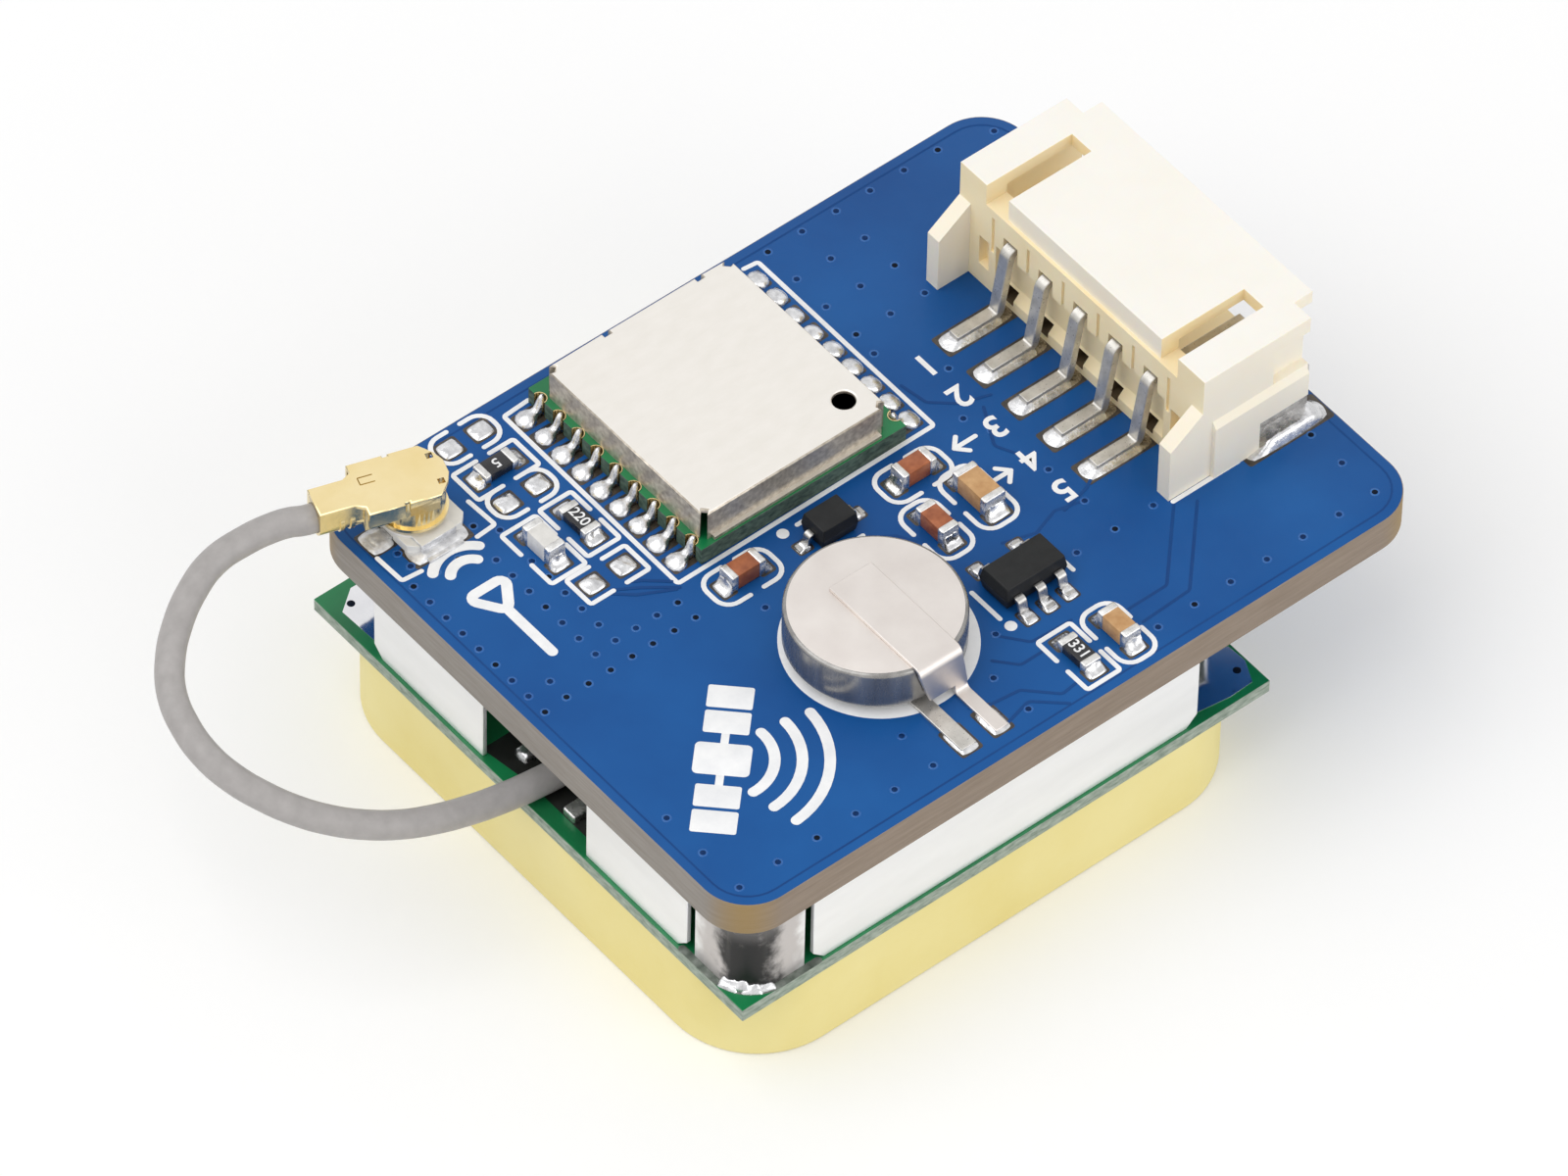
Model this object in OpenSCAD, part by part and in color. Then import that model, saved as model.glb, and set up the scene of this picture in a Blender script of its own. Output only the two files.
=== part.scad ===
// Satellite positioning module: a small receiver board carried on the back of a square
// ceramic patch antenna, with a wire connector, a backup cell and a short coax lead.
// Millimetres, +Z up. It rests on the antenna's ceramic face at Z 0.
// X 0 and Y 0 are the middle of the main board, and the connector's mouth faces +X.

/* [Main board] */
// Length of the main board along X
board_l = 32.5; // [31:0.5:38]
// Main board beyond the antenna board on each side along Y
board_side = 0; // [0:0.1:2]
// Thickness of the main board
board_t = 1.6; // [0.8:0.1:2.4]
// Radius of the main board's corners
board_r = 2; // [0.5:0.1:3]

/* [Antenna] */
// Side of the square antenna board
ant_w = 25; // [24:0.5:28]
// Thickness of the antenna board
ant_board_t = 0.6; // [0.4:0.1:1]
// Distance of the antenna board from the main board's -X edge
ant_gap = 0.25; // [0:0.05:2]
// Height of the ceramic block
ceramic_h = 4; // [2:0.5:6]
// Distance of the ceramic's sides inside the antenna board's edge
ceramic_inset = 0.1; // [0:0.05:0.5]
// Radius of the ceramic's upright corners
ceramic_r = 3.8; // [1:0.1:5]
// Distance of the silver electrode inside the ceramic's sides, on the underside
electrode_in = 2.2; // [1.5:0.1:4]
// Thickness of the electrode
electrode_t = 0.1; // [0.05:0.05:0.2]
// Cut across two of the electrode's corners
electrode_cut = 2.4; // [1:0.2:4]
// Feed pin's distance from the ceramic's middle along X
feed_x = 2.2; // [0:0.1:3]
// Diameter of the feed pin
feed_d = 0.9; // [0.6:0.1:1.2]
// Diameter of the feed pin's flat head
feed_head_d = 2; // [1.6:0.1:2.6]

/* [Antenna shield] */
// Height of the shield can
shield_h = 3.4; // [3:0.1:4.5]
// Sheet thickness of the shield can
shield_t = 0.2; // [0.1:0.05:0.3]
// Distance of the shield's walls inside the antenna board's edge
shield_inset = 0.15; // [0:0.05:0.4]
// Distance of each folded wall's ends from the shield's corners
flap_end = 3.25; // [2.6:0.05:4]
// Cut at the lower corners of each wall
flap_cut = 0.5; // [0:0.1:1]
// Width of the slot that the coax lead passes
slot_w = 6; // [3:0.5:8]
// Distance of the tape pad's edges inside the shield's walls
tape_in = 3.35; // [1:0.05:6]
// Thickness of the tape pad
tape_t = 0.2; // [0.1:0.05:0.5]

/* [Receiver] */
// Receiver board along X
rx_l = 9.7; // [9.2:0.1:10.2]
// Receiver board along Y
rx_w = 10.1; // [10:0.1:10.8]
// Thickness of the receiver board
rx_t = 0.8; // [0.5:0.1:1]
// Height of the receiver's can
rx_can_h = 1.4; // [1.2:0.1:2]
// Sheet thickness of the receiver's can
rx_can_t = 0.15; // [0.1:0.05:0.2]
// Can's distance inside the receiver board's edge along X
rx_can_in = 0.5; // [0.45:0.05:0.6]
// Pads on each side of the receiver board
rx_pads = 9; // [5:1:9]
// Spacing of the receiver's pads
rx_pitch = 1.1; // [0.9:0.05:1.1]
// Diameter of the half-round edge contacts
rx_notch_d = 0.6; // [0.4:0.05:0.7]
// Diameter of the vent hole in the can
rx_vent_d = 0.9; // [0.5:0.1:1.2]

/* [Wire connector] */
// Pin spacing
con_pitch = 2; // [1.8:0.1:2]
// Housing beyond the outer pins at each end
con_end = 2.95; // [2.8:0.05:3.2]
// Height of the housing
con_h = 5.5; // [5.2:0.1:6]
// Depth of the housing from its legs to its mouth
con_d = 7.5; // [7.2:0.1:8]
// Distance of the mouth behind the board's +X edge
con_gap = 0.1; // [0:0.1:1]
// Length of the rear legs
leg_d = 1.5; // [1.2:0.1:1.7]
// Width of a rear leg
leg_w = 0.65; // [0.5:0.05:0.75]
// Thickness of the roof
roof_t = 0.6; // [0.4:0.1:0.7]
// Thickness of the floor
floor_t = 0.5; // [0.4:0.1:0.7]
// Thickness of the rear wall
rear_t = 1; // [0.8:0.1:1.3]
// Thickness of the side walls beside the mouth
side_t = 1; // [0.95:0.05:1.1]
// Width of the two latch slots in the roof
latch_w = 1.1; // [0.8:0.1:1.2]
// Width of a pin
pin_w = 0.5; // [0.4:0.05:0.6]
// Thickness of a pin
pin_t = 0.36; // [0.25:0.01:0.4]
// Height of the pins above the board, at their middle
pin_z = 3.2; // [3:0.1:3.4]
// Length of a pin's foot
pin_foot = 1.8; // [1.2:0.1:2]

/* [Backup cell] */
// Diameter of the cell
cell_d = 6.8; // [6:0.1:7]
// Height of the cell
cell_h = 2.1; // [1.8:0.1:2.4]
// Thickness of its two tabs
cell_tab_t = 0.15; // [0.1:0.05:0.2]
// Width of the upper tab on the cell
cell_tab_w = 2; // [1.6:0.1:2.4]
// Width of the lower tab's foot
cell_foot_w = 0.7; // [0.6:0.1:1]

/* [Coax lead] */
// Diameter of the lead
lead_d = 1.13; // [0.81:0.01:1.15]
// Length of the lead inside the antenna shield
lead_run = 4.4; // [3:0.2:6]
// Side of the socket's base
socket_w = 3; // [2.9:0.1:3.1]
// Outer diameter of the socket's ring
socket_d = 2; // [1.8:0.1:2.2]
// Height of the socket's ring top above the board
socket_h = 1.6; // [1.5:0.05:1.7]
// Diameter of the socket's centre contact
contact_d = 0.5; // [0.4:0.05:0.6]
// Height of the plug's top above the board
plug_h = 2.5; // [2.4:0.05:2.6]
// Turn of the plug from -X towards +Y
plug_turn = 18; // [0:1:30]
// Thickness of the plug's sheet metal
plug_t = 0.15; // [0.1:0.05:0.2]

/* [Small parts] */
// Length of the standard chip parts
chip_l = 1.6; // [1.4:0.1:1.8]
// Width of the standard chip parts
chip_w = 0.8; // [0.7:0.1:0.9]
// Height of the chip capacitors
cap_h = 0.8; // [0.6:0.1:1]
// Height of the chip resistors
res_h = 0.45; // [0.35:0.05:0.6]
// Length of the large capacitor
big_cap_l = 1.9; // [1.8:0.1:2]
// Width of the large capacitor
big_cap_w = 1; // [0.9:0.1:1.2]
// Regulator body along X
reg_l = 2.9; // [2.7:0.1:3]
// Regulator body along Y
reg_w = 1.6; // [1.4:0.1:1.7]
// Height of the regulator above the board
reg_h = 1.15; // [1:0.05:1.3]
// Diode body along X
diode_l = 1.7; // [1.5:0.1:1.9]
// Diode body along Y
diode_w = 1.3; // [1.1:0.1:1.4]
// Height of the diode above the board
diode_h = 1; // [0.9:0.05:1.1]

/* [Hidden] */
$fn = 48;
// Running clearance between pieces that pass through one another
fit = 0.02;
// Heights of the stack, from the ceramic's resting face up
z_ant = ceramic_h + ant_board_t;
z_tape = z_ant + shield_h;
z_under = z_tape + tape_t;
z_top = z_under + board_t;
// Width of the main board
board_w = ant_w + 2 * board_side;
// Middle of the antenna
ant_x = -board_l / 2 + ant_gap + ant_w / 2;
ceramic_w = ant_w - 2 * ceramic_inset;
electrode_w = ceramic_w - 2 * electrode_in;
shield_w = ant_w - 2 * shield_inset;
flap_w = shield_w - 2 * flap_end;
tape_w = shield_w - 2 * tape_in;
corner_r = 1.6;
corner_in = 0.12;
// Board size that the layout is drawn for; places spread with the board
layout_l = 32.5;
layout_w = 25;
function place(p) = [p[0] * board_l / layout_l, p[1] * board_w / layout_w, len(p) > 2 ? p[2] : 0];
// Places on the main board, from its middle
rx_pos = place([-1.8, 6.5]);
cell_pos = place([-4.15, -5.45]);
socket_pos = place([-13.55, 9.75]);
diode_pos = place([-1.95, -0.2]);
reg_pos = place([2, -6.5]);
// Chip parts: place on the board and turn
cap_pos = [place([-5.85, 0.05, 0]), place([2.15, -0.05, 0]), place([1.15, -2.6, 90]),
    place([3.35, -2.35, 90]), place([3.15, -10.55, 90])];
res_pos = [place([-9.65, 9.7, 0]), place([-8.9, 5.75, 90]), place([1.3, -10.5, 90])];
coil_pos = place([-10.7, 5.6, 90]);
coil_h = 0.9;
bare_x = [-8.9, -10.35];
bare_y = [11.55, 8.2, 3.2];
// Packages inside the two cans
amp_w = 2;
amp_h = 0.75;
saw_w = 3;
saw_h = 1;
tiny_l = 1;
tiny_w = 0.5;
rx_chip_w = 3;
rx_chip_h = 0.7;
clock_l = 2;
clock_w = 1.6;
sieve_l = 1.4;
sieve_w = 1.1;
sieve_h = 0.5;
// Connector: five pins, one node each
con_pins = 5;
con_w = (con_pins - 1) * con_pitch + 2 * con_end;
con_x = board_l / 2 - con_gap - con_d;
con_y = 0.1;
nose = 0.9;
ledge_z = con_h - roof_t - 0.45;
ledge_in = 0.15;
// Rear wall: height of its sill and of the band that the pins leave, hollow between them
sill_h = 0.55;
band_z = pin_z - 0.5;
hollow_in = 0.35;
hollow_hw = (con_pins - 1) * con_pitch / 2 + 0.8;
groove_w = 0.16;
// Bend of a pin inside the face of the band, and its straight way out
pin_in = 0.2;
pin_out = 0.05;
roof_hw = con_w / 2 - 0.95;
latch_out = con_w / 2 - 1.5;
bend_r = 0.3;
bend_a = 81;
pin_drop = pin_z - pin_t / 2 - 2 * bend_r * (1 - cos(bend_a));
tab_t = 0.25;
tab_in = con_w / 2 - 0.5;
// Receiver can
can_l = rx_l - 2 * rx_can_in;
can_w = rx_w - 0.85;
can_off = [-0.2, -0.15];
can_slit = 0.26;
can_foot = 0.18;
// Cell
cell_top = cell_tab_t + cell_h;
cell_plate_w = 2.4;
cell_plate_l = 3.6;
cell_reach = cell_d / 2 + 2.5;
// Foot of the upper tab, the height at which the tab narrows to it, and the lean of its upright
cell_strip_w = 0.6;
cell_neck_z = 0.5;
cell_lean = 0.25;
// Coax: axis height at the plug and on the antenna board
lead_z = socket_h + 0.05;
lead_low = z_ant + lead_d / 2 + 0.05;
plug_neck = 3;
plug_end = 3.8;
// Cover of the plug: its width and length over the socket, its walls, the slit in them, and the barrel
plug_w = 2.56;
plug_head = 2.1;
plug_wall = 0.75;
plug_slit = 0.5;
barrel_r = lead_d / 2 + 0.12;
rim_z = 0.8;
plug_out = [socket_pos[0] - plug_neck * cos(plug_turn), socket_pos[1] + plug_neck * sin(plug_turn)];
lead_in = [ant_x - shield_w / 2 + lead_run, -0.1];
// Route of the lead: offsets from a line that runs from the plug to the antenna, and the share of that line
route = [[-2.2, 0.8, 0], [-5, 1.3, 0.03], [-8, 1.1, 0.12], [-10.4, 0.6, 0.25], [-11.5, -0.1, 0.41],
    [-11.4, -0.2, 0.59], [-10.5, -0.2, 0.75], [-8.9, 0, 0.88], [-6.7, 0.3, 0.97], [-4.1, 0.2, 1]];
lead_start = [plug_out[0], plug_out[1], z_top + lead_z];
lead_stop = [lead_in[0], lead_in[1], lead_low];
lead_exit = lead_start + 1.2 * [-cos(plug_turn), sin(plug_turn), 0];
lead_path = concat([lead_start, lead_exit],
    [for (p = route) lead_start * (1 - p[2]) + lead_stop * p[2] + [p[0], p[1], 0]],
    [lead_stop - [1.2, 0, 0], lead_stop]);

// Flat plate with rounded corners, on Z 0
module rounded_plate(l, w, t, r) {
    linear_extrude(t) {
        square([l - 2 * r, w], center = true);
        square([l, w - 2 * r], center = true);
        for (x = [-1, 1], y = [-1, 1])
            translate([x * (l / 2 - r), y * (w / 2 - r)])
                circle(r);
    }
}

// Straight piece of strip along +X, its middle line on the X axis
module strip(len, w, t) {
    translate([0, -w / 2, -t / 2])
        cube([len, w, t]);
}

// Strip bent down from +X by an angle, with its middle line at that radius
module bend(r, a, w, t) {
    translate([0, 0, -r])
        rotate([90, 0, 0])
            rotate([0, 0, 90 - a])
                rotate_extrude(angle = a)
                    translate([r - t / 2, -w / 2])
                        square([t, w]);
}

// Puts what follows at the end of a bend
module after_bend(r, a) {
    translate([r * sin(a), 0, -r * (1 - cos(a))])
        rotate([0, a, 0])
            children();
}

// Strip that runs out, bends down, falls and bends out again to a foot
module step_strip(out, fall, foot, r, a, w, t) {
    strip(out, w, t);
    translate([out, 0, 0]) {
        bend(r, a, w, t);
        after_bend(r, a) {
            strip(fall, w, t);
            translate([fall, 0, 0])
                mirror([0, 0, 1]) {
                    bend(r, a, w, t);
                    after_bend(r, a)
                        strip(foot, w, t);
                }
        }
    }
}

// Puts a small part on the main board
module on_board(p, turn = 0) {
    translate([p[0], p[1], z_top])
        rotate(turn)
            children();
}

// Moulded package: a block whose sides lean in above and below its parting line
module package(l, w, z0, z1, lean) {
    zm = (z0 + z1) / 2;
    intersection() {
        rotate([90, 0, 0])
            linear_extrude(w + 1, center = true)
                polygon([[-l / 2 + lean, z0], [l / 2 - lean, z0], [l / 2, zm], [l / 2 - lean, z1],
                    [-l / 2 + lean, z1], [-l / 2, zm]]);
        rotate([90, 0, 90])
            linear_extrude(l + 1, center = true)
                polygon([[-w / 2 + lean, z0], [w / 2 - lean, z0], [w / 2, zm], [w / 2 - lean, z1],
                    [-w / 2 + lean, z1], [-w / 2, zm]]);
    }
}

// Chip part: a block with thicker metal ends
module chip(l, w, h) {
    cap = 0.32;
    skin = 0.03;
    translate([-l / 2 + cap, -w / 2 + skin, 0])
        cube([l - 2 * cap, w - 2 * skin, h - skin]);
    for (s = [0, 1])
        mirror([s, 0, 0])
            translate([l / 2 - cap, -w / 2, 0])
                cube([cap, w, h]);
}

// Solder wedge against a face at X 0, running out along +X
module wedge(run, w, h) {
    rotate([90, 0, 0])
        linear_extrude(w, center = true)
            polygon([[0, 0], [run, 0], [run, 0.05], [run * 0.4, h * 0.45], [0, h]]);
}

// Cap of a sphere with a round foot of radius a, on Z 0
module dome(a, h) {
    big = (a * a + h * h) / (2 * h);
    intersection() {
        translate([0, 0, h - big])
            sphere(big);
        translate([-a, -a, 0])
            cube([2 * a, 2 * a, h + 1]);
    }
}

module main_board() {
    color("#2560A4")
        translate([0, 0, z_under])
            rounded_plate(board_l, board_w, board_t, board_r);
}

module mounting_tape() {
    color("#D9D6CC")
        translate([ant_x - tape_w / 2, -tape_w / 2, z_tape])
            cube([tape_w, tape_w, tape_t]);
}

// Outline of the electrode, with two opposite corners cut off
module electrode_outline(grow = 0) {
    e = electrode_w / 2 + grow;
    c = electrode_cut;
    polygon([[-e, -e], [e - c, -e], [e, -e + c], [e, e], [-e + c, e], [-e, e - c]]);
}

module antenna_ceramic() {
    w = ceramic_w;
    color("#EEDF95")
        translate([ant_x, 0, 0])
            difference() {
                rounded_plate(w, w, ceramic_h, ceramic_r);
                translate([0, 0, -1])
                    linear_extrude(1 + electrode_t)
                        electrode_outline(fit);
                translate([feed_x, 0, -1])
                    cylinder(d = feed_d + 0.1, h = ceramic_h + 2);
            }
}

module antenna_electrode() {
    color("#D8D6D0")
        translate([ant_x, 0, 0])
            difference() {
                linear_extrude(electrode_t)
                    electrode_outline();
                translate([feed_x, 0, -1])
                    cylinder(d = feed_head_d + 2 * fit, h = 2);
            }
}

module antenna_feed_pin() {
    color("#D2CDC2")
        translate([ant_x + feed_x, 0, 0]) {
            cylinder(d = feed_head_d, h = electrode_t);
            cylinder(d = feed_d, h = z_ant + 0.6);
        }
}

module antenna_board() {
    color("#0E7A45")
        translate([ant_x, 0, ceramic_h])
            difference() {
                translate([-ant_w / 2, -ant_w / 2, 0])
                    cube([ant_w, ant_w, ant_board_t]);
                translate([feed_x, 0, -1])
                    cylinder(d = feed_d + 0.1, h = ant_board_t + 2);
            }
}

// One folded wall of the shield, standing on Y 0 and facing -Y
module shield_flap() {
    w = flap_w / 2;
    c = flap_cut;
    translate([0, shield_t, 0])
        rotate([90, 0, 0])
            linear_extrude(shield_t)
                polygon([[-w + c, 0], [w - c, 0], [w, c], [w, shield_h], [-w, shield_h], [-w, c]]);
}

// Rounded corner tab of the shield at its -X -Y corner
module shield_corner() {
    inset = corner_in;
    r = corner_r;
    reach = flap_end - 0.3;
    h = shield_w / 2 - inset;
    linear_extrude(shield_h)
        intersection() {
            translate([-h, -h])
                square([reach - inset, reach - inset]);
            difference() {
                union() {
                    translate([-h + r, -h + r])
                        circle(r);
                    translate([-h + r, -h])
                        square([reach, reach]);
                    translate([-h, -h + r])
                        square([reach, reach]);
                }
                translate([-h + r, -h + r])
                    circle(r - shield_t);
                translate([-h + r, -h + shield_t])
                    square([reach, reach]);
                translate([-h + shield_t, -h + r])
                    square([reach, reach]);
            }
        }
}

module antenna_shield() {
    h = shield_w / 2;
    c = flap_end;
    n = 0.8;
    color("#E9E8E6")
        translate([ant_x, 0, z_ant]) {
            difference() {
                for (a = [0, 90, 180, 270])
                    rotate(a)
                        translate([0, -h, 0])
                            shield_flap();
                translate([-h - 1, -slot_w / 2 - 0.3, -1])
                    cube([2, slot_w, shield_h - shield_t + 1]);
            }
            for (a = [0, 180])
                rotate(a)
                    shield_corner();
            translate([0, 0, shield_h - shield_t])
                linear_extrude(shield_t)
                    polygon([[-h + n, -h + 0.2], [-h + c, -h + 0.2], [-h + c, -h], [h - c, -h], [h - c, -h + n],
                        [h - n, -h + c], [h, -h + c], [h, h - c], [h - 0.2, h - c], [h - 0.2, h - n],
                        [h - n, h - 0.2], [h - c, h - 0.2], [h - c, h], [-h + c, h], [-h + c, h - n],
                        [-h + n, h - c], [-h, h - c], [-h, -h + c], [-h + 0.2, -h + c], [-h + 0.2, -h + n]]);
        }
}

module antenna_amplifier() {
    color("#2B2B2D")
        translate([ant_x - 1.5, 4.5, z_ant])
            translate([-amp_w / 2, -amp_w / 2, 0])
                cube([amp_w, amp_w, amp_h]);
}

module antenna_filter() {
    color("#C9B37A")
        translate([ant_x - 4.5, -4.2, z_ant])
            translate([-saw_w / 2, -saw_w / 2, 0])
                cube([saw_w, saw_w, saw_h]);
}

module antenna_chips() {
    color("#B0623A")
        for (p = [[-4.6, 4.4, 90], [-6.6, 3.2, 0], [1.6, 3.4, 0], [-1, -4.2, 90], [1.2, -4.6, 90]])
            translate([ant_x + p[0], p[1], z_ant])
                rotate(p[2])
                    chip(tiny_l, tiny_w, tiny_w);
}

module antenna_feed_solder() {
    color("#DADADB")
        translate([ant_x + feed_x, 0, z_ant])
            difference() {
                cylinder(r1 = feed_d / 2 + 0.5, r2 = feed_d / 2 + 0.15, h = 0.5);
                translate([0, 0, -1])
                    cylinder(d = feed_d + 2 * fit, h = 3);
            }
}

// Solder beads at the foot of the shield's two corner tabs
module shield_solder() {
    h = shield_w / 2 - corner_in;
    r = corner_r;
    color("#DADADB")
        translate([ant_x, 0, z_ant])
            for (a = [0, 180])
                rotate(a)
                    translate([-h + r, -h + r, 0])
                        rotate(195)
                            rotate_extrude(angle = 60)
                                polygon([[r, 0], [r + 0.28, 0], [r + 0.16, 0.4], [r, 1]]);
}

// Solder under the lead's braid and at the end of its core
module coax_solder() {
    cut = 0.42 + fit;
    color("#DADADB")
        difference() {
            translate([lead_in[0] + 0.1, lead_in[1], z_ant]) {
                translate([0, -0.8, 0])
                    cube([1, 1.6, lead_low - z_ant + 0.2]);
                translate([1.9, -0.4, 0])
                    cube([0.7, 0.8, lead_low - z_ant + 0.25]);
            }
            translate([lead_in[0] - 1, lead_in[1], lead_low])
                rotate([0, 90, 0])
                    cylinder(r = cut, h = 2.5);
            translate([lead_in[0] - 1, lead_in[1], lead_low])
                rotate([0, 90, 0])
                    cylinder(r = 0.1 + fit, h = 5);
        }
}

module receiver_board() {
    color("#10633F")
        on_board(rx_pos)
            difference() {
                translate([-rx_l / 2, -rx_w / 2, 0])
                    cube([rx_l, rx_w, rx_t]);
                for (s = [-1, 1], i = [0 : rx_pads - 1])
                    translate([s * rx_l / 2, (i - (rx_pads - 1) / 2) * rx_pitch, -1])
                        cylinder(d = rx_notch_d, h = rx_t + 2);
            }
}

module receiver_shield() {
    t = rx_can_t;
    color("#E6E1DB")
        on_board(rx_pos + can_off)
            translate([0, 0, rx_t]) {
                difference() {
                    rounded_plate(can_l, can_w, rx_can_h, 0.3);
                    translate([-can_l / 2 + t, -can_w / 2 + t, -1])
                        cube([can_l - 2 * t, can_w - 2 * t, 1 + rx_can_h - t]);
                    translate([can_l / 2 - 1.1, -can_w / 2 + 1.2, 0])
                        cylinder(d = rx_vent_d, h = 3);
                    // Nicks in the +Y edge and open corners, where the sheet was folded
                    for (x = [-1.65, 2.75])
                        translate([x, can_w / 2 - 0.18, -1])
                            cube([0.3, 1, 5]);
                    for (x = [-1, 1], y = [-1, 1])
                        translate([x * can_l / 2, y * can_w / 2, 0])
                            rotate(-45 * x * y)
                                cube([can_slit, 0.8, 4 * rx_can_h], center = true);
                }
                translate([-can_l / 2 + 0.4, -can_w / 2 - can_foot, 0])
                    cube([can_l - 0.8, can_foot + t, t]);
            }
}

module receiver_chip() {
    color("#2B2B2D")
        on_board([rx_pos[0] - 0.8, rx_pos[1] + 1.4])
            translate([-rx_chip_w / 2, -rx_chip_w / 2, rx_t])
                cube([rx_chip_w, rx_chip_w, rx_chip_h]);
}

module receiver_clock() {
    color("#C9C3B6")
        on_board([rx_pos[0] + 2.4, rx_pos[1] + 1.8])
            translate([-clock_l / 2, -clock_w / 2, rx_t])
                cube([clock_l, clock_w, rx_chip_h]);
}

module receiver_filter() {
    color("#C9B37A")
        on_board([rx_pos[0] - 1.6, rx_pos[1] - 2.6])
            translate([-sieve_l / 2, -sieve_w / 2, rx_t])
                cube([sieve_l, sieve_w, sieve_h]);
}

module receiver_solder() {
    color("#DCDCDE")
        on_board(rx_pos)
            for (s = [0, 1], i = [0 : rx_pads - 1])
                mirror([s, 0, 0])
                    translate([rx_l / 2, (i - (rx_pads - 1) / 2) * rx_pitch, 0]) {
                        translate([0.5, 0, 0])
                            dome(0.42, 0.3);
                        cylinder(d = rx_notch_d - 2 * fit, h = rx_t);
                    }
}

// Puts the connector's pieces at its rear, in the middle of its width
module at_connector() {
    translate([con_x, con_y, z_top])
        children();
}

module connector_housing() {
    hw = con_w / 2;
    far = con_d - nose;
    color("#F7F1E2")
        at_connector()
            difference() {
                union() {
                    // Shell round the mouth
                    translate([leg_d, -hw, 0])
                        cube([far - leg_d, con_w, con_h]);
                    // Lips of roof and floor
                    translate([far - 0.1, -roof_hw, con_h - roof_t])
                        cube([nose + 0.1, 2 * roof_hw, roof_t]);
                    translate([far - 0.1, -roof_hw, 0])
                        cube([nose + 0.1, 2 * roof_hw, floor_t]);
                    for (s = [0, 1])
                        mirror([0, s, 0]) {
                            // Rear leg with a sloping top
                            translate([0, hw, 0])
                                rotate([90, 0, 0])
                                    linear_extrude(leg_w)
                                        polygon([[0, 0], [leg_d, 0], [leg_d, 3.75], [0, 2.65]]);
                            // Lower side rail with a sloping shoulder
                            translate([leg_d + 0.5, hw, 0])
                                rotate([90, 0, 90])
                                    linear_extrude(far - leg_d - 0.6)
                                        polygon([[-0.1, 0], [0.2, 0], [0.2, 2.7], [0, 3], [-0.1, 3]]);
                        }
                }
                // Mouth
                translate([leg_d + rear_t, -hw + side_t, floor_t])
                    cube([con_d, con_w - 2 * side_t, con_h - roof_t - floor_t]);
                // Ledge along the rear of the roof
                translate([leg_d - 1, -latch_out, ledge_z])
                    cube([1 + ledge_in, 2 * latch_out, con_h]);
                // Hollow of the rear wall, between its sill and its band
                translate([leg_d, hollow_hw, 0])
                    rotate([90, 0, 0])
                        linear_extrude(2 * hollow_hw)
                            polygon([[-1, sill_h], [0, sill_h], [hollow_in, sill_h + 0.4],
                                [hollow_in, band_z - 0.25], [0.1, band_z], [-1, band_z]]);
                for (s = [0, 1])
                    mirror([0, s, 0]) {
                        // Latch slot
                        translate([leg_d - 1, latch_out - latch_w, ledge_z])
                            cube([5.1, latch_w, con_h]);
                        // Hollow at the front of the side
                        translate([far - 1.7, hw - 0.35, 3])
                            cube([2, 1, 1.75]);
                        // Pocket beside the leg
                        translate([leg_d - 1, hollow_hw + 0.4, sill_h + 0.45])
                            cube([1.4, 0.55, 1.5]);
                        // Window and slot for the solder tab
                        translate([far - 2.4, tab_in - fit, -1])
                            cube([4, 2, 2.5]);
                        translate([far - 2.4, tab_in - fit, -1])
                            cube([4, tab_t + 2 * fit, 3.6]);
                    }
                for (i = [0 : con_pins - 1])
                    translate([0, (i - (con_pins - 1) / 2) * con_pitch, 0]) {
                        // Pin's way through the rear wall
                        translate([leg_d - 1, -pin_w / 2 - fit, pin_z - pin_t / 2 - fit])
                            cube([rear_t + 2, pin_w + 2 * fit, pin_t + 2 * fit]);
                        // Notch in the band that the pin falls through
                        translate([leg_d - 1, -pin_w / 2 - 0.15, band_z - 0.4])
                            cube([1 + hollow_in, pin_w + 0.3, pin_z + pin_t / 2 + 0.55 - band_z]);
                        // Square mould hole in the sill
                        translate([leg_d - 1, -0.28, 0.3])
                            cube([1.75, 0.56, 0.56]);
                    }
                // Narrow grooves between the notches
                for (i = [-1 : con_pins - 1])
                    translate([leg_d - 1, (i - (con_pins - 2) / 2) * con_pitch - groove_w / 2, band_z - 0.5])
                        cube([1.12, groove_w, ledge_z - band_z + 0.1]);
            }
}

module connector_pin(i) {
    fall = pin_drop / sin(bend_a);
    color("#C9C9CB")
        at_connector()
            translate([leg_d + pin_in, (i - (con_pins - 1) / 2) * con_pitch, pin_z]) {
                strip(con_d - nose - leg_d - pin_in - 0.6, pin_w, pin_t);
                mirror([1, 0, 0])
                    step_strip(pin_out, fall, pin_foot, bend_r, bend_a, pin_w, pin_t);
            }
}

module connector_tabs() {
    len = 2.6;
    color("#C9C9CB")
        at_connector()
            for (s = [0, 1])
                mirror([0, s, 0])
                    translate([con_d - nose - 2.3, 0, 0]) {
                        translate([0, tab_in, 0])
                            cube([len, tab_t, 2.5]);
                        translate([0.1, tab_in, 0])
                            cube([len - 0.2, 0.9, 0.25]);
                    }
}

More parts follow.
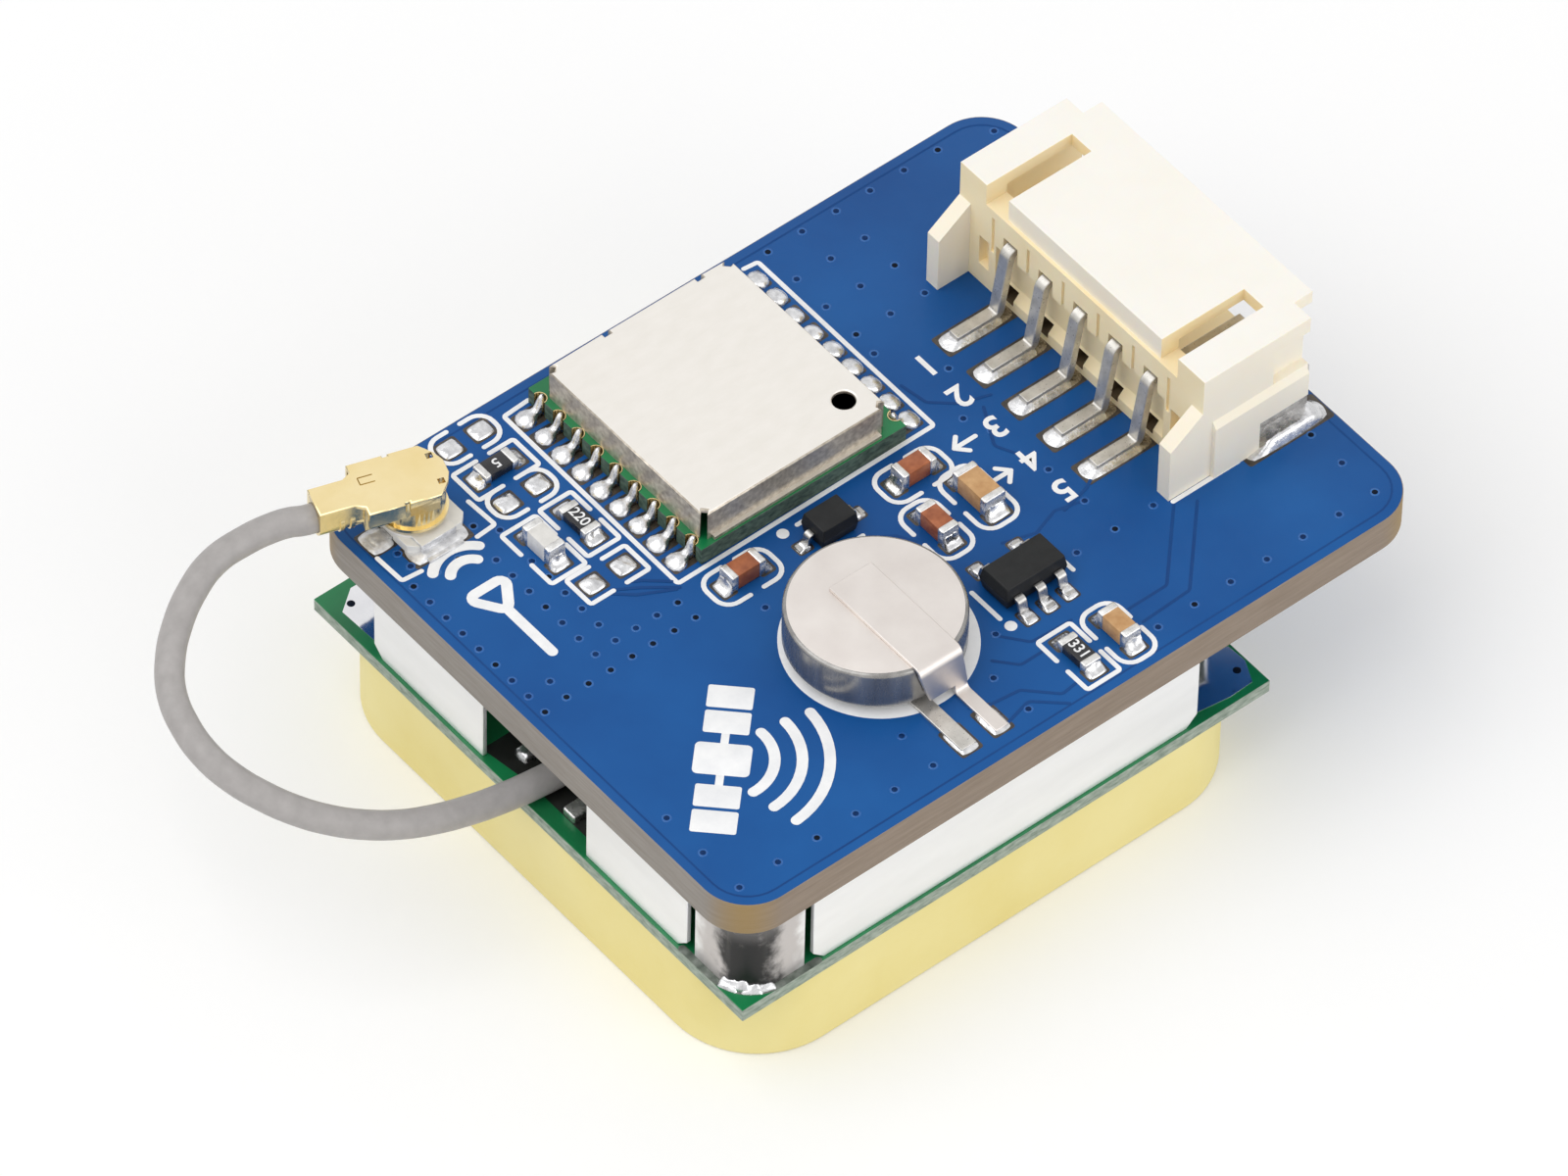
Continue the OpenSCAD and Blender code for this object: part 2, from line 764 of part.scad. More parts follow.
module connector_solder() {
    foot_x = leg_d + pin_in - pin_out - 2 * bend_r * sin(bend_a) - pin_drop / tan(bend_a);
    color("#DCDCDE")
        at_connector() {
            for (i = [0 : con_pins - 1])
                translate([foot_x - pin_foot, (i - (con_pins - 1) / 2) * con_pitch, 0]) {
                    for (a = [-90, 90])
                        translate([0.95, sign(a) * pin_w / 2, 0])
                            rotate(a)
                                wedge(0.25, 1.7, 0.3);
                    rotate(180)
                        wedge(0.45, 0.8, 0.28);
                }
            for (s = [0, 1])
                mirror([0, s, 0])
                    translate([con_d - nose - 1, tab_in + 0.9, 0])
                        rotate(90)
                            wedge(0.35, 2.4, 0.25);
        }
}

module backup_cell() {
    r = cell_d / 2;
    e = 0.18;
    color("#DDD8D4")
        on_board(cell_pos)
            translate([0, 0, cell_tab_t])
                rotate_extrude()
                    polygon([[0, 0], [r - 2 * e, 0], [r, 2 * e], [r, cell_h - e], [r - e, cell_h], [0, cell_h]]);
}

module cell_upper_tab() {
    t = cell_tab_t;
    w = cell_tab_w / 2;
    r = 0.3;
    edge = cell_d / 2 + 0.1;
    drop = cell_top + t / 2 - r - cell_neck_z;
    color("#D3CFCB")
        on_board([cell_pos[0] + 0.1, cell_pos[1]])
            rotate(-90)
                translate([-1.6, 0, cell_top + t / 2]) {
                    strip(1.6 + edge + t / 2 - r, cell_tab_w, t);
                    translate([1.6 + edge + t / 2 - r, 0, 0]) {
                        bend(r, 90, cell_tab_w, t);
                        after_bend(r, 90) {
                            translate([0, 0, -t / 2])
                                linear_extrude(t)
                                    polygon([[0, -w], [drop, 2 * cell_lean - w], [drop, w + cell_lean], [0, w]]);
                            translate([drop, w + cell_lean - cell_strip_w / 2, 0]) {
                                strip(cell_neck_z - r - t / 2, cell_strip_w, t);
                                translate([cell_neck_z - r - t / 2, 0, 0])
                                    mirror([0, 0, 1]) {
                                        bend(r, 90, cell_strip_w, t);
                                        after_bend(r, 90)
                                            strip(2.1, cell_strip_w, t);
                                    }
                            }
                        }
                    }
                }
}

module cell_lower_tab() {
    color("#D3CFCB")
        on_board([cell_pos[0] - 0.45, cell_pos[1]]) {
            translate([-cell_plate_w / 2, -cell_plate_l / 2, 0])
                cube([cell_plate_w, cell_plate_l, cell_tab_t]);
            translate([-cell_foot_w / 2, -cell_reach, 0])
                cube([cell_foot_w, cell_reach - cell_plate_l / 2 + 0.1, cell_tab_t]);
        }
}

module cell_solder() {
    foot_y = cell_d / 2 + 0.1 + cell_tab_t / 2 + 0.3 + 2.1;
    color("#DCDCDE")
        on_board(cell_pos) {
            translate([-0.45, -cell_reach, 0])
                rotate(-90)
                    wedge(0.25, cell_foot_w, cell_tab_t);
            translate([0.1 + (cell_tab_w - cell_strip_w) / 2 + cell_lean, -foot_y, 0])
                rotate(-90)
                    wedge(0.25, cell_strip_w, cell_tab_t);
        }
}

module socket_base() {
    w = socket_w / 2;
    tail = w - 0.35;
    c = 0.35;
    color("#F2F0EA")
        on_board(socket_pos)
            difference() {
                linear_extrude(0.4)
                    polygon([[-tail + c, -w], [w - c, -w], [w, -w + c], [w, w - c], [w - c, w], [-tail + c, w],
                        [-tail, w - c], [-tail, -w + c]]);
                translate([0, 0, -1])
                    cylinder(d = contact_d + 2 * fit, h = 3);
                translate([-w - 1, -0.3 - fit, -1])
                    cube([w + 1, 0.6 + 2 * fit, 1.12 + fit]);
            }
}

// Ring, flange and two ground feet, folded over the base
module socket_shell() {
    w = socket_w / 2;
    color("#E7CC86")
        on_board(socket_pos) {
            difference() {
                union() {
                    translate([0, 0, 0.4])
                        cylinder(d = socket_d, h = socket_h - 0.4);
                    translate([0, 0, 0.4])
                        cylinder(d = socket_d + 0.5, h = 0.12);
                    for (s = [-1, 1])
                        translate([-0.8, s * w / 2 + (s - 1) * 0.4 - 0.01, 0.4])
                            cube([1.6, 0.82, 0.12]);
                }
                cylinder(d = socket_d - 0.3, h = 3);
            }
            for (s = [0, 1])
                mirror([0, s, 0]) {
                    translate([-0.8, w, 0])
                        cube([1.6, 0.12, 0.52]);
                    translate([-0.8, 0.9, 0.4])
                        cube([1.6, w - 0.9 + 0.12, 0.12]);
                    translate([-0.8, w, 0])
                        cube([1.6, 0.6, 0.12]);
                }
        }
}

module socket_contact() {
    color("#E7CC86")
        on_board(socket_pos) {
            cylinder(d = contact_d, h = socket_h - 0.1);
            translate([-socket_w / 2 - 0.5, -0.3, 0])
                cube([socket_w / 2 + 0.5, 0.6, 0.12]);
        }
}

module socket_solder() {
    color("#DCDCDE")
        on_board(socket_pos) {
            for (s = [0, 1])
                mirror([0, s, 0])
                    translate([0, socket_w / 2 + 0.6, 0])
                        rotate(90)
                            wedge(0.3, 2, 0.2);
            translate([-socket_w / 2 - 0.5, 0, 0])
                rotate(180)
                    wedge(0.3, 0.9, 0.2);
        }
}

// Puts the plug's pieces on the socket, with the lead leaving along +X
module at_plug() {
    on_board(socket_pos, 180 - plug_turn)
        children();
}

// Outline of the plug's folded cover, from its rounded end over the socket to the barrel
module plug_cover() {
    w = plug_w / 2;
    difference() {
        polygon([[plug_head, -w], [plug_head, w], [-0.7, w], [-1.15, 0.75], [-1.35, 0.3], [-1.35, -0.3],
            [-1.15, -0.75], [-0.7, -w]]);
        // Ends of the slits beside the folded walls
        for (s = [-1, 1])
            translate([plug_slit, s * w - 0.12])
                square([0.2, 0.24]);
    }
    polygon([[plug_head - 0.1, -0.95], [plug_head + 0.35, -barrel_r], [plug_end, -barrel_r], [plug_end, barrel_r],
        [plug_head + 0.35, barrel_r], [plug_head - 0.1, 0.95]]);
}

module plug_shell() {
    skirt = socket_d + 2 * fit;
    top = plug_h - plug_t;
    color("#E7CC86")
        at_plug()
            difference() {
                union() {
                    // Skirt that clasps the socket's ring, with a turned rim
                    translate([0, 0, rim_z])
                        cylinder(d = skirt + 0.5, h = top - rim_z);
                    translate([0, 0, rim_z])
                        cylinder(d = skirt + 0.7, h = 0.14);
                    // Cover and the walls folded down from it
                    translate([0, 0, top])
                        linear_extrude(plug_t)
                            plug_cover();
                    for (s = [0, 1])
                        mirror([0, s, 0])
                            for (x = [[-0.65, plug_slit], [plug_slit + 0.2, plug_head]])
                                translate([x[0], plug_w / 2 - plug_t, plug_h - plug_wall])
                                    cube([x[1] - x[0], plug_t, plug_wall]);
                    // Neck and crimped barrel with two ribs
                    translate([1, -0.8, lead_z - 0.55])
                        cube([plug_head - 1, 1.6, top - lead_z + 0.6]);
                    translate([plug_head - 0.1, 0, lead_z])
                        rotate([0, 90, 0])
                            cylinder(r = barrel_r, h = plug_end - plug_head + 0.1);
                    for (x = [0.35, 0.75])
                        translate([plug_head + x, 0, lead_z])
                            rotate([0, 90, 0])
                                cylinder(r = barrel_r + 0.06, h = 0.16);
                    translate([plug_head - 0.1, -barrel_r, lead_z])
                        cube([plug_end - plug_head + 0.1, 2 * barrel_r, top - lead_z + 0.1]);
                }
                translate([0, 0, -1])
                    cylinder(d = skirt, h = top + 1);
                translate([plug_neck, 0, lead_z])
                    rotate([0, 90, 0])
                        cylinder(r = lead_d / 2 + fit, h = 4);
                translate([0.5, 0, lead_z])
                    rotate([0, 90, 0])
                        cylinder(r = 0.3, h = 4);
                // Small square holes beside the rounded end
                for (s = [-1, 1])
                    translate([-1.05, s * 0.65 - 0.13, top - 0.4])
                        cube([0.26, 0.26, 2]);
            }
}

module plug_insulator() {
    color("#F2F0EA")
        at_plug()
            translate([0, 0, socket_h])
                difference() {
                    cylinder(d = socket_d, h = plug_h - plug_t - socket_h);
                    translate([0, 0, -1])
                        cylinder(d = contact_d + 2 * fit, h = 1.3);
                }
}

module plug_contact() {
    color("#E7CC86")
        at_plug()
            translate([0, 0, 0.75])
                difference() {
                    cylinder(d = contact_d + 0.35, h = socket_h - 0.75);
                    translate([0, 0, -1])
                        cylinder(d = contact_d + 2 * fit, h = 3);
                }
}

// Ring of points round the lead's path, turned to face along it
function unit(v) = v / norm(v);
function along(i) = i == 0 ? unit(lead_path[1] - lead_path[0])
    : i == len(lead_path) - 1 ? unit(lead_path[i] - lead_path[i - 1])
    : unit(lead_path[i + 1] - lead_path[i - 1]);
function ring(i, sides) =
    let (d = along(i), u = unit(cross([0, 0, 1], d)), v = cross(d, u))
    [for (k = [0 : sides - 1]) lead_path[i] + lead_d / 2 * (cos(k * 360 / sides) * u + sin(k * 360 / sides) * v)];

module coax_lead() {
    sides = 8;
    last = len(lead_path) - 1;
    points = [for (i = [0 : last]) each ring(i, sides)];
    walls = [for (i = [0 : last - 1], k = [0 : sides - 1], h = [0, 1])
        let (a = i * sides + k, b = i * sides + (k + 1) % sides)
        h == 0 ? [a, a + sides, b] : [b, a + sides, b + sides]];
    color("#A9A5A4")
        polyhedron(points, concat([[for (k = [0 : sides - 1]) k]], walls,
            [[for (k = [sides - 1 : -1 : 0]) last * sides + k]]));
}

// Stripped end of the lead on the antenna board
module coax_layer(from, to, r) {
    translate([lead_in[0] + from, lead_in[1], lead_low])
        rotate([0, 90, 0])
            cylinder(r = r, h = to - from);
}

module coax_braid() {
    color("#C9C6C2")
        coax_layer(0, 1.2, 0.42);
}

module coax_dielectric() {
    color("#EFEDE8")
        coax_layer(1.2, 1.9, 0.3);
}

module coax_core() {
    color("#D9D4C8")
        coax_layer(1.9, 2.6, 0.1);
}

module diode_body() {
    color("#2A2B2E")
        on_board(diode_pos)
            package(diode_l, diode_w, 0.06, diode_h, 0.07);
}

module diode_leads() {
    t = 0.12;
    z = (0.06 + diode_h) / 2;
    r = 0.14;
    fall = z - t / 2 - 2 * r * (1 - cos(80));
    color("#CFCFD1")
        on_board(diode_pos)
            for (s = [0, 1])
                mirror([s, 0, 0])
                    translate([diode_l / 2, 0, z])
                        step_strip(0.08, fall / sin(80), 0.3, r, 80, 0.35, t);
}

module regulator_body() {
    color("#26272A")
        on_board(reg_pos)
            package(reg_l, reg_w, 0.1, reg_h, 0.09);
}

module regulator_leads() {
    t = 0.15;
    z = (0.1 + reg_h) / 2;
    r = 0.16;
    fall = z - t / 2 - 2 * r * (1 - cos(76));
    color("#CFCFD1")
        on_board(reg_pos)
            for (p = [[-0.95, -90], [0, -90], [0.95, -90], [-0.95, 90], [0.95, 90]])
                translate([p[0], sign(p[1]) * reg_w / 2, z])
                    rotate(p[1])
                        step_strip(0.1, fall / sin(76), 0.35, r, 76, 0.4, t);
}

module capacitor(i, tint) {
    big = i == 3;
    color(tint)
        on_board(cap_pos[i], cap_pos[i][2])
            chip(big ? big_cap_l : chip_l, big ? big_cap_w : chip_w, big ? cap_h + 0.1 : cap_h);
}

module resistor(i) {
    color("#2C2C2E")
        on_board(res_pos[i], res_pos[i][2])
            chip(chip_l, chip_w, res_h);
}

module choke() {
    color("#E4E2DE")
        on_board(coil_pos, coil_pos[2])
            chip(chip_l, chip_w, coil_h);
}

// Solder at both ends of every chip part
module chip_solder() {
    color("#DCDCDE") {
        for (i = [0 : len(cap_pos) - 1], s = [0, 1])
            on_board(cap_pos[i], cap_pos[i][2])
                mirror([s, 0, 0])
                    translate([(i == 3 ? big_cap_l : chip_l) / 2, 0, 0])
                        wedge(0.28, chip_w * 0.9, cap_h * 0.6);
        for (p = res_pos, s = [0, 1])
            on_board(p, p[2])
                mirror([s, 0, 0])
                    translate([chip_l / 2, 0, 0])
                        wedge(0.25, chip_w * 0.9, res_h * 0.8);
        for (s = [0, 1])
            on_board(coil_pos, coil_pos[2])
                mirror([s, 0, 0])
                    translate([chip_l / 2, 0, 0])
                        wedge(0.3, chip_w * 0.9, coil_h * 0.5);
    }
}

// Tinned pads with nothing fitted
module pad_solder() {
    color("#DCDCDE")
        for (x = bare_x, y = bare_y)
            on_board(place([x, y]))
                package(0.85, 0.75, 0, 0.1, 0.04);
}

main_board();
mounting_tape();
antenna_ceramic();
antenna_electrode();
antenna_feed_pin();
antenna_board();
antenna_shield();
antenna_amplifier();
antenna_filter();
antenna_chips();
antenna_feed_solder();
shield_solder();
coax_solder();
receiver_board();
receiver_shield();
receiver_chip();
receiver_clock();
receiver_filter();
receiver_solder();
connector_housing();
connector_pin(4);  // connector_pin_1
connector_pin(3);  // connector_pin_2
connector_pin(2);  // connector_pin_3
connector_pin(1);  // connector_pin_4
connector_pin(0);  // connector_pin_5
connector_tabs();
connector_solder();
backup_cell();
cell_upper_tab();
cell_lower_tab();
cell_solder();
socket_base();
socket_shell();
socket_contact();
socket_solder();
plug_shell();
plug_insulator();
plug_contact();
coax_lead();
coax_braid();
coax_dielectric();
coax_core();
diode_body();
diode_leads();
regulator_body();
regulator_leads();
capacitor(0, "#B0623A");  // capacitor_1
capacitor(1, "#B0623A");  // capacitor_2
capacitor(2, "#B0623A");  // capacitor_3
capacitor(3, "#C99A66");  // capacitor_4
capacitor(4, "#C99A66");  // capacitor_5
resistor(0);  // resistor_1
resistor(1);  // resistor_2
resistor(2);  // resistor_3
choke();
chip_solder();
pad_solder();
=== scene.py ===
import math
import random

import bmesh
import bpy
from mathutils import Matrix, Vector


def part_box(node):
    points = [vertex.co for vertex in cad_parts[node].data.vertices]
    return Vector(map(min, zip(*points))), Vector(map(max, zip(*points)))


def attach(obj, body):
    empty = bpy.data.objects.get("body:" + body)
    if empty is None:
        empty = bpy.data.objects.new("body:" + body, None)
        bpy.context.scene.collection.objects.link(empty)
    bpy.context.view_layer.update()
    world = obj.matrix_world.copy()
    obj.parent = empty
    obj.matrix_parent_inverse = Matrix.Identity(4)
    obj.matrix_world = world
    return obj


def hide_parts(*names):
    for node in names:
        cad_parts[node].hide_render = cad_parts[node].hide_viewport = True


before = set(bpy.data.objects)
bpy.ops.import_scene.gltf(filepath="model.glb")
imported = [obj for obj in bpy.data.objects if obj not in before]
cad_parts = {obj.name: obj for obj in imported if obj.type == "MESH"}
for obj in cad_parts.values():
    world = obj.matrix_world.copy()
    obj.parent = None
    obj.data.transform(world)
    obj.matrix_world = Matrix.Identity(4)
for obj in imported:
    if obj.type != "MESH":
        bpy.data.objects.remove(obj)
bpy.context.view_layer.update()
mm = 0.001
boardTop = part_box("main_board")[1].z / mm
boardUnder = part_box("main_board")[0].z / mm
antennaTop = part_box("antenna_board")[1].z / mm
print("frame loaded:", len(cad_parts), "nodes")


# camera at the photograph's angle, from a fitted pinhole view
cameraView = {
    "place": (-240.157, -278.303, 434.645),
    "right": (0.77344, -0.63370, 0.01492),
    "ahead": (0.42065, 0.49551, -0.75995),
    "lens": 352.2,
}


def setCamera():
    data = bpy.data.cameras.new("photoCamera")
    data.sensor_fit = "HORIZONTAL"
    data.sensor_width = 36.0
    data.lens = cameraView["lens"]
    data.clip_start, data.clip_end = 0.01, 20.0
    camera = bpy.data.objects.new("photoCamera", data)
    bpy.context.scene.collection.objects.link(camera)
    right = Vector(cameraView["right"]).normalized()
    back = -Vector(cameraView["ahead"]).normalized()
    up = back.cross(right)
    turn = Matrix((right, up, back)).transposed().to_4x4()
    camera.matrix_world = Matrix.Translation(Vector(cameraView["place"]) * mm) @ turn
    bpy.context.scene.camera = camera


setCamera()
print("camera set")


# finishes
def linear(code):
    parts = [int(code[i:i + 2], 16) / 255 for i in (1, 3, 5)]
    return tuple(c / 12.92 if c <= 0.04045 else ((c + 0.055) / 1.055) ** 2.4 for c in parts) + (1.0,)


def addNode(tree, kind, inputs=None, **settings):
    node = tree.nodes.new(kind)
    for name, value in settings.items():
        setattr(node, name, value)
    for name, value in (inputs or {}).items():
        socket = node.inputs[name]
        if isinstance(value, bpy.types.NodeSocket):
            tree.links.new(value, socket)
        else:
            socket.default_value = value
    return node


def calc(tree, operation, first, second=0.0):
    # one step of arithmetic
    return addNode(tree, "ShaderNodeMath", {0: first, 1: second}, operation=operation).outputs[0]


def ramp(tree, value, start, end, low=0.0, high=1.0, kind="LINEAR"):
    # maps a value that runs from start to end onto low to high
    node = addNode(tree, "ShaderNodeMapRange", {
        "Value": value, "From Min": start, "From Max": end, "To Min": low, "To Max": high},
        interpolation_type=kind)
    return node.outputs[0]


def blend(tree, share, first, second, kind="MIX"):
    # one colour laid over another
    node = addNode(tree, "ShaderNodeMix", {"Factor": share, "A": first, "B": second},
                   data_type="RGBA", blend_type=kind)
    return node.outputs["Result"]


def noise(tree, place, size, detail, roughness):
    # cloudy noise, its patches of a real size in mm
    node = addNode(tree, "ShaderNodeTexNoise", {
        "Vector": place, "Scale": 1 / (size * mm), "Detail": detail, "Roughness": roughness})
    return node.outputs["Fac"]


def makeFinish(name, dark, light, metal, rough, patch, grain, bump, stretch=(1, 1, 1), shine=0.5,
               extra=None):
    # patch and grain are the real sizes, in mm, of the cloudy colour change and of the fine surface texture
    finish = bpy.data.materials.new(name)
    finish.use_nodes = True
    tree = finish.node_tree
    shader = tree.nodes["Principled BSDF"]
    spot = addNode(tree, "ShaderNodeTexCoord").outputs["Object"]
    place = addNode(tree, "ShaderNodeMapping", {"Vector": spot, "Scale": stretch}).outputs[0]
    clouds = noise(tree, place, patch, 4.0, 0.55)
    grit = noise(tree, place, grain, 3.0, 0.6)
    colour = blend(tree, ramp(tree, clouds, 0.3, 0.7), linear(dark), linear(light))
    gloss = ramp(tree, grit, 0.3, 0.7, rough[0], rough[1])
    relief = addNode(tree, "ShaderNodeBump", {"Height": grit, "Strength": 0.6, "Distance": bump * mm})
    for socket, source in (("Base Color", colour), ("Roughness", gloss), ("Normal", relief.outputs[0])):
        tree.links.new(source, shader.inputs[socket])
    shader.inputs["Metallic"].default_value = metal
    shader.inputs["Specular IOR Level"].default_value = shine
    for socket, value in (extra or {}).items():
        shader.inputs[socket].default_value = value
    return finish


# photo-imaged solder mask: a satin film that shows the copper only as faint relief
blueMask = makeFinish("blueSolderMask", "#0F4C8E", "#185A9E", 0.0, (0.30, 0.40), 7.0, 0.25, 0.004, shine=0.2)
# mask that dips into the gaps between copper areas, so it reads a shade deeper
maskGap = makeFinish("maskOverGaps", "#0A3F7C", "#0F4887", 0.0, (0.30, 0.40), 3.0, 0.2, 0.003, shine=0.2)
# drilled hole left open: a near-black disc of painted shade where the hole is
holePaintedShade = makeFinish("maskedHole", "#030B18", "#071629", 0.0, (0.5, 0.6), 0.4, 0.1, 0.002, shine=0.1)
# hole filled to its rim with mask: deep blue, not open
maskPlug = makeFinish("filledHole", "#08264F", "#0D3468", 0.0, (0.4, 0.5), 0.4, 0.1, 0.002, shine=0.1)
# mask drawn thin over the plated ring of a hole: a shade lighter and glossier, partly its own colour over
# copper and partly a painted highlight
maskRimPaintedHighlight = makeFinish("maskOverRing", "#1859A2", "#2064AA", 0.0, (0.2, 0.28), 2.0, 0.1, 0.002)
# screen-printed epoxy ink: flat white, a little uneven
whiteInk = makeFinish("screenInk", "#EDEEF0", "#FBFBFB", 0.0, (0.55, 0.7), 0.8, 0.08, 0.004)
# green solder mask over copper, on the antenna and receiver boards
greenMask = makeFinish("greenSolderMask", "#0B6B3C", "#15884F", 0.0, (0.28, 0.4), 4.0, 0.2, 0.004)
# sheared edge of a thin board: glass bundles in pale resin
paleEdge = makeFinish("shearedBoardEdge", "#6F8071", "#AEB8AC", 0.0, (0.55, 0.75), 0.5, 0.15, 0.01, (1, 1, 3))
# sawn edge of the receiver's board: dark green with pale glass ends
darkEdge = makeFinish("sawnBoardEdge", "#22392D", "#5C7264", 0.0, (0.5, 0.7), 0.35, 0.1, 0.01, (1, 1, 2))
# fired microwave ceramic: matte, with a fine even bloom
firedCeramic = makeFinish("firedCeramic", "#ECDC90", "#F3E6A5", 0.0, (0.55, 0.7), 6.0, 0.12, 0.004)
# silver paste fired onto the ceramic: soft matte metal
silverFilm = makeFinish("firedSilver", "#C9C6BE", "#E2DFD8", 1.0, (0.4, 0.55), 1.5, 0.08, 0.006)
# nickel-silver can with a dull tumbled skin
canSkin = makeFinish("dullNickelCan", "#E7E3DC", "#EBE7E1", 1.0, (0.40, 0.48), 0.5, 0.09, 0.0014, (0.5, 1, 1))
# drawn wall of the can: the same metal, painted darker beige-grey as shade, and speckled
canWallPaintedShade = makeFinish("rubbedNickelWall", "#A3988A", "#D6CDBE", 0.6, (0.28, 0.42), 0.22, 0.06, 0.006)
# stainless cell cup, brushed flat by tumbling
cellTop = makeFinish("satinStainless", "#D8D1CC", "#E2DCD7", 1.0, (0.40, 0.48), 2.0, 0.06, 0.003)
# drawn side wall of the cell: grey, with fine upright streaks
cellSide = makeFinish("drawnStainless", "#868482", "#A3A19E", 0.75, (0.2, 0.3), 0.5, 0.15, 0.002,
                      (1, 1, 0.12))
# tin over stamped brass strip, dulled by handling
tinStrip = makeFinish("tinnedStrip", "#A6A4A1", "#C6C4C1", 1.0, (0.24, 0.36), 0.6, 0.1, 0.004)
# tin over the connector's pins: softer and paler than the strip, so the board's blue hardly shows in it
pinTin = makeFinish("tinnedPin", "#B8B5AF", "#D6D3CD", 0.65, (0.26, 0.38), 0.5, 0.1, 0.004)
# pretinned copper on a board: a clear mirror
mirrorTin = makeFinish("mirrorTin", "#DDDDE0", "#EAEAEC", 1.0, (0.08, 0.14), 1.5, 0.3, 0.002)
# reflowed solder: bright with frosty patches
solderSkin = makeFinish("reflowedSolder", "#B9B9BB", "#EDEDEE", 1.0, (0.12, 0.32), 0.35, 0.12, 0.02)
# solder cooled slowly under a cover: frosted, so it hardly mirrors
frostedSolder = makeFinish("frostedSolder", "#BEBEC0", "#F0F0F1", 0.5, (0.26, 0.42), 0.3, 0.1, 0.02)
# solder under a glaze of flux: dull and brownish
fluxedSolder = makeFinish("fluxedSolder", "#6E6353", "#B3A995", 0.6, (0.2, 0.4), 0.3, 0.1, 0.012)
# flux baked on round a joint: brown and glassy
fluxStain = makeFinish("bakedFlux", "#24211F", "#51473C", 0.0, (0.25, 0.45), 0.3, 0.1, 0.01)
# painted shade inside the shield's slot: a nearly black, a little glossy film where the closed shield keeps
# light out
slotShadePaint = makeFinish("sootyFlux", "#0A0B09", "#1A1B17", 0.0, (0.3, 0.5), 0.6, 0.1, 0.006)
# dull film of flux and metal dust along the shield's foot
dustFilm = makeFinish("greyFluxFilm", "#4F5A50", "#8C928A", 0.0, (0.4, 0.6), 0.35, 0.1, 0.01)
# gold flash over stamped copper alloy
goldFlash = makeFinish("goldFlash", "#EED89F", "#F4E2B2", 1.0, (0.18, 0.27), 2.0, 0.15, 0.0015)
# darker gold lines of painted shade where a lance is cut into the gilt sheet
goldLancePaintedShade = makeFinish("goldCutEdge", "#8A6A2C", "#B08C46", 1.0, (0.3, 0.42), 0.4, 0.08, 0.003)
# moulded ivory nylon for the top: slightly waxy; its sides and recesses take warmer copies below as painted
# shade
nylonDepth = {"Subsurface Weight": 0.2, "Subsurface Radius": (0.0012, 0.0008, 0.0004)}
ivoryNylon = makeFinish("mouldedNylon", "#FAF5EB", "#FCF8F0", 0.0, (0.42, 0.52), 3.0, 0.1, 0.003,
                        extra=nylonDepth)
# its side faces: a touch creamier than the top, as painted shade
ivorySidePaintedShade = makeFinish("drawnNylon", "#FBF0DB", "#FDF4E2", 0.0, (0.45, 0.55), 3.0, 0.1, 0.003,
                       extra=nylonDepth)
# its recesses: a honey colour as painted shade, warmer than the sides
ivoryRecessPaintedShade = makeFinish("recessedNylon", "#FDE9BE", "#FFEFCA", 0.0, (0.45, 0.55), 2.0, 0.1, 0.003,
                         extra=nylonDepth)
# small mould holes of the housing: little light comes back out
nylonPit = makeFinish("nylonPit", "#4A3D2A", "#6B5A40", 0.0, (0.6, 0.7), 0.5, 0.1, 0.003)
# white liquid-crystal polymer of the coax socket
whitePolymer = makeFinish("whitePolymer", "#E6E4DE", "#F4F3EF", 0.0, (0.4, 0.5), 0.8, 0.08, 0.004)
# black transfer-moulded epoxy with a fine matte grain
blackEpoxy = makeFinish("mouldedEpoxy", "#131415", "#1D1E1F", 0.0, (0.45, 0.58), 0.5, 0.05, 0.006, shine=0.3)
# fluoropolymer jacket over braid: smooth grey with a faint speckle
greyJacket = makeFinish("greyJacket", "#A5A19F", "#B0ACAA", 0.0, (0.36, 0.46), 0.5, 0.12, 0.006, shine=0.3)
# fired chip ceramics
brownChip = makeFinish("brownChipCeramic", "#8E4A28", "#B2683F", 0.0, (0.3, 0.42), 0.4, 0.06, 0.004)
tanChip = makeFinish("tanChipCeramic", "#B98A57", "#D0A573", 0.0, (0.3, 0.42), 0.4, 0.06, 0.004)
paleChip = makeFinish("paleChipCeramic", "#D5D3CE", "#EAE8E4", 0.0, (0.35, 0.5), 0.5, 0.06, 0.004)
blackGlaze = makeFinish("resistorGlaze", "#17171A", "#26262A", 0.0, (0.22, 0.34), 0.4, 0.08, 0.004)
# tin-plated chip ends
chipEnd = makeFinish("tinnedChipEnd", "#C9C8C6", "#EDECEA", 1.0, (0.22, 0.42), 0.3, 0.06, 0.012)
# foam tape edge
foamTape = makeFinish("foamTape", "#C9C6BC", "#DDDAD1", 0.0, (0.7, 0.85), 0.5, 0.1, 0.02)


def reopen(finish):
    # what a second layer of colour needs: the tree, the colour's socket, the object's place and its axes
    tree = finish.node_tree
    place = addNode(tree, "ShaderNodeTexCoord").outputs["Object"]
    axes = addNode(tree, "ShaderNodeSeparateXYZ", {"Vector": place}).outputs
    return tree, tree.nodes["Principled BSDF"].inputs["Base Color"], place, axes


# routed board edge: how far from the board's middle its ends and its long sides begin, in mm
routedEdge = {"ends": (14.0, 15.8), "sides": (10.4, 12.2), "honey": 0.75}


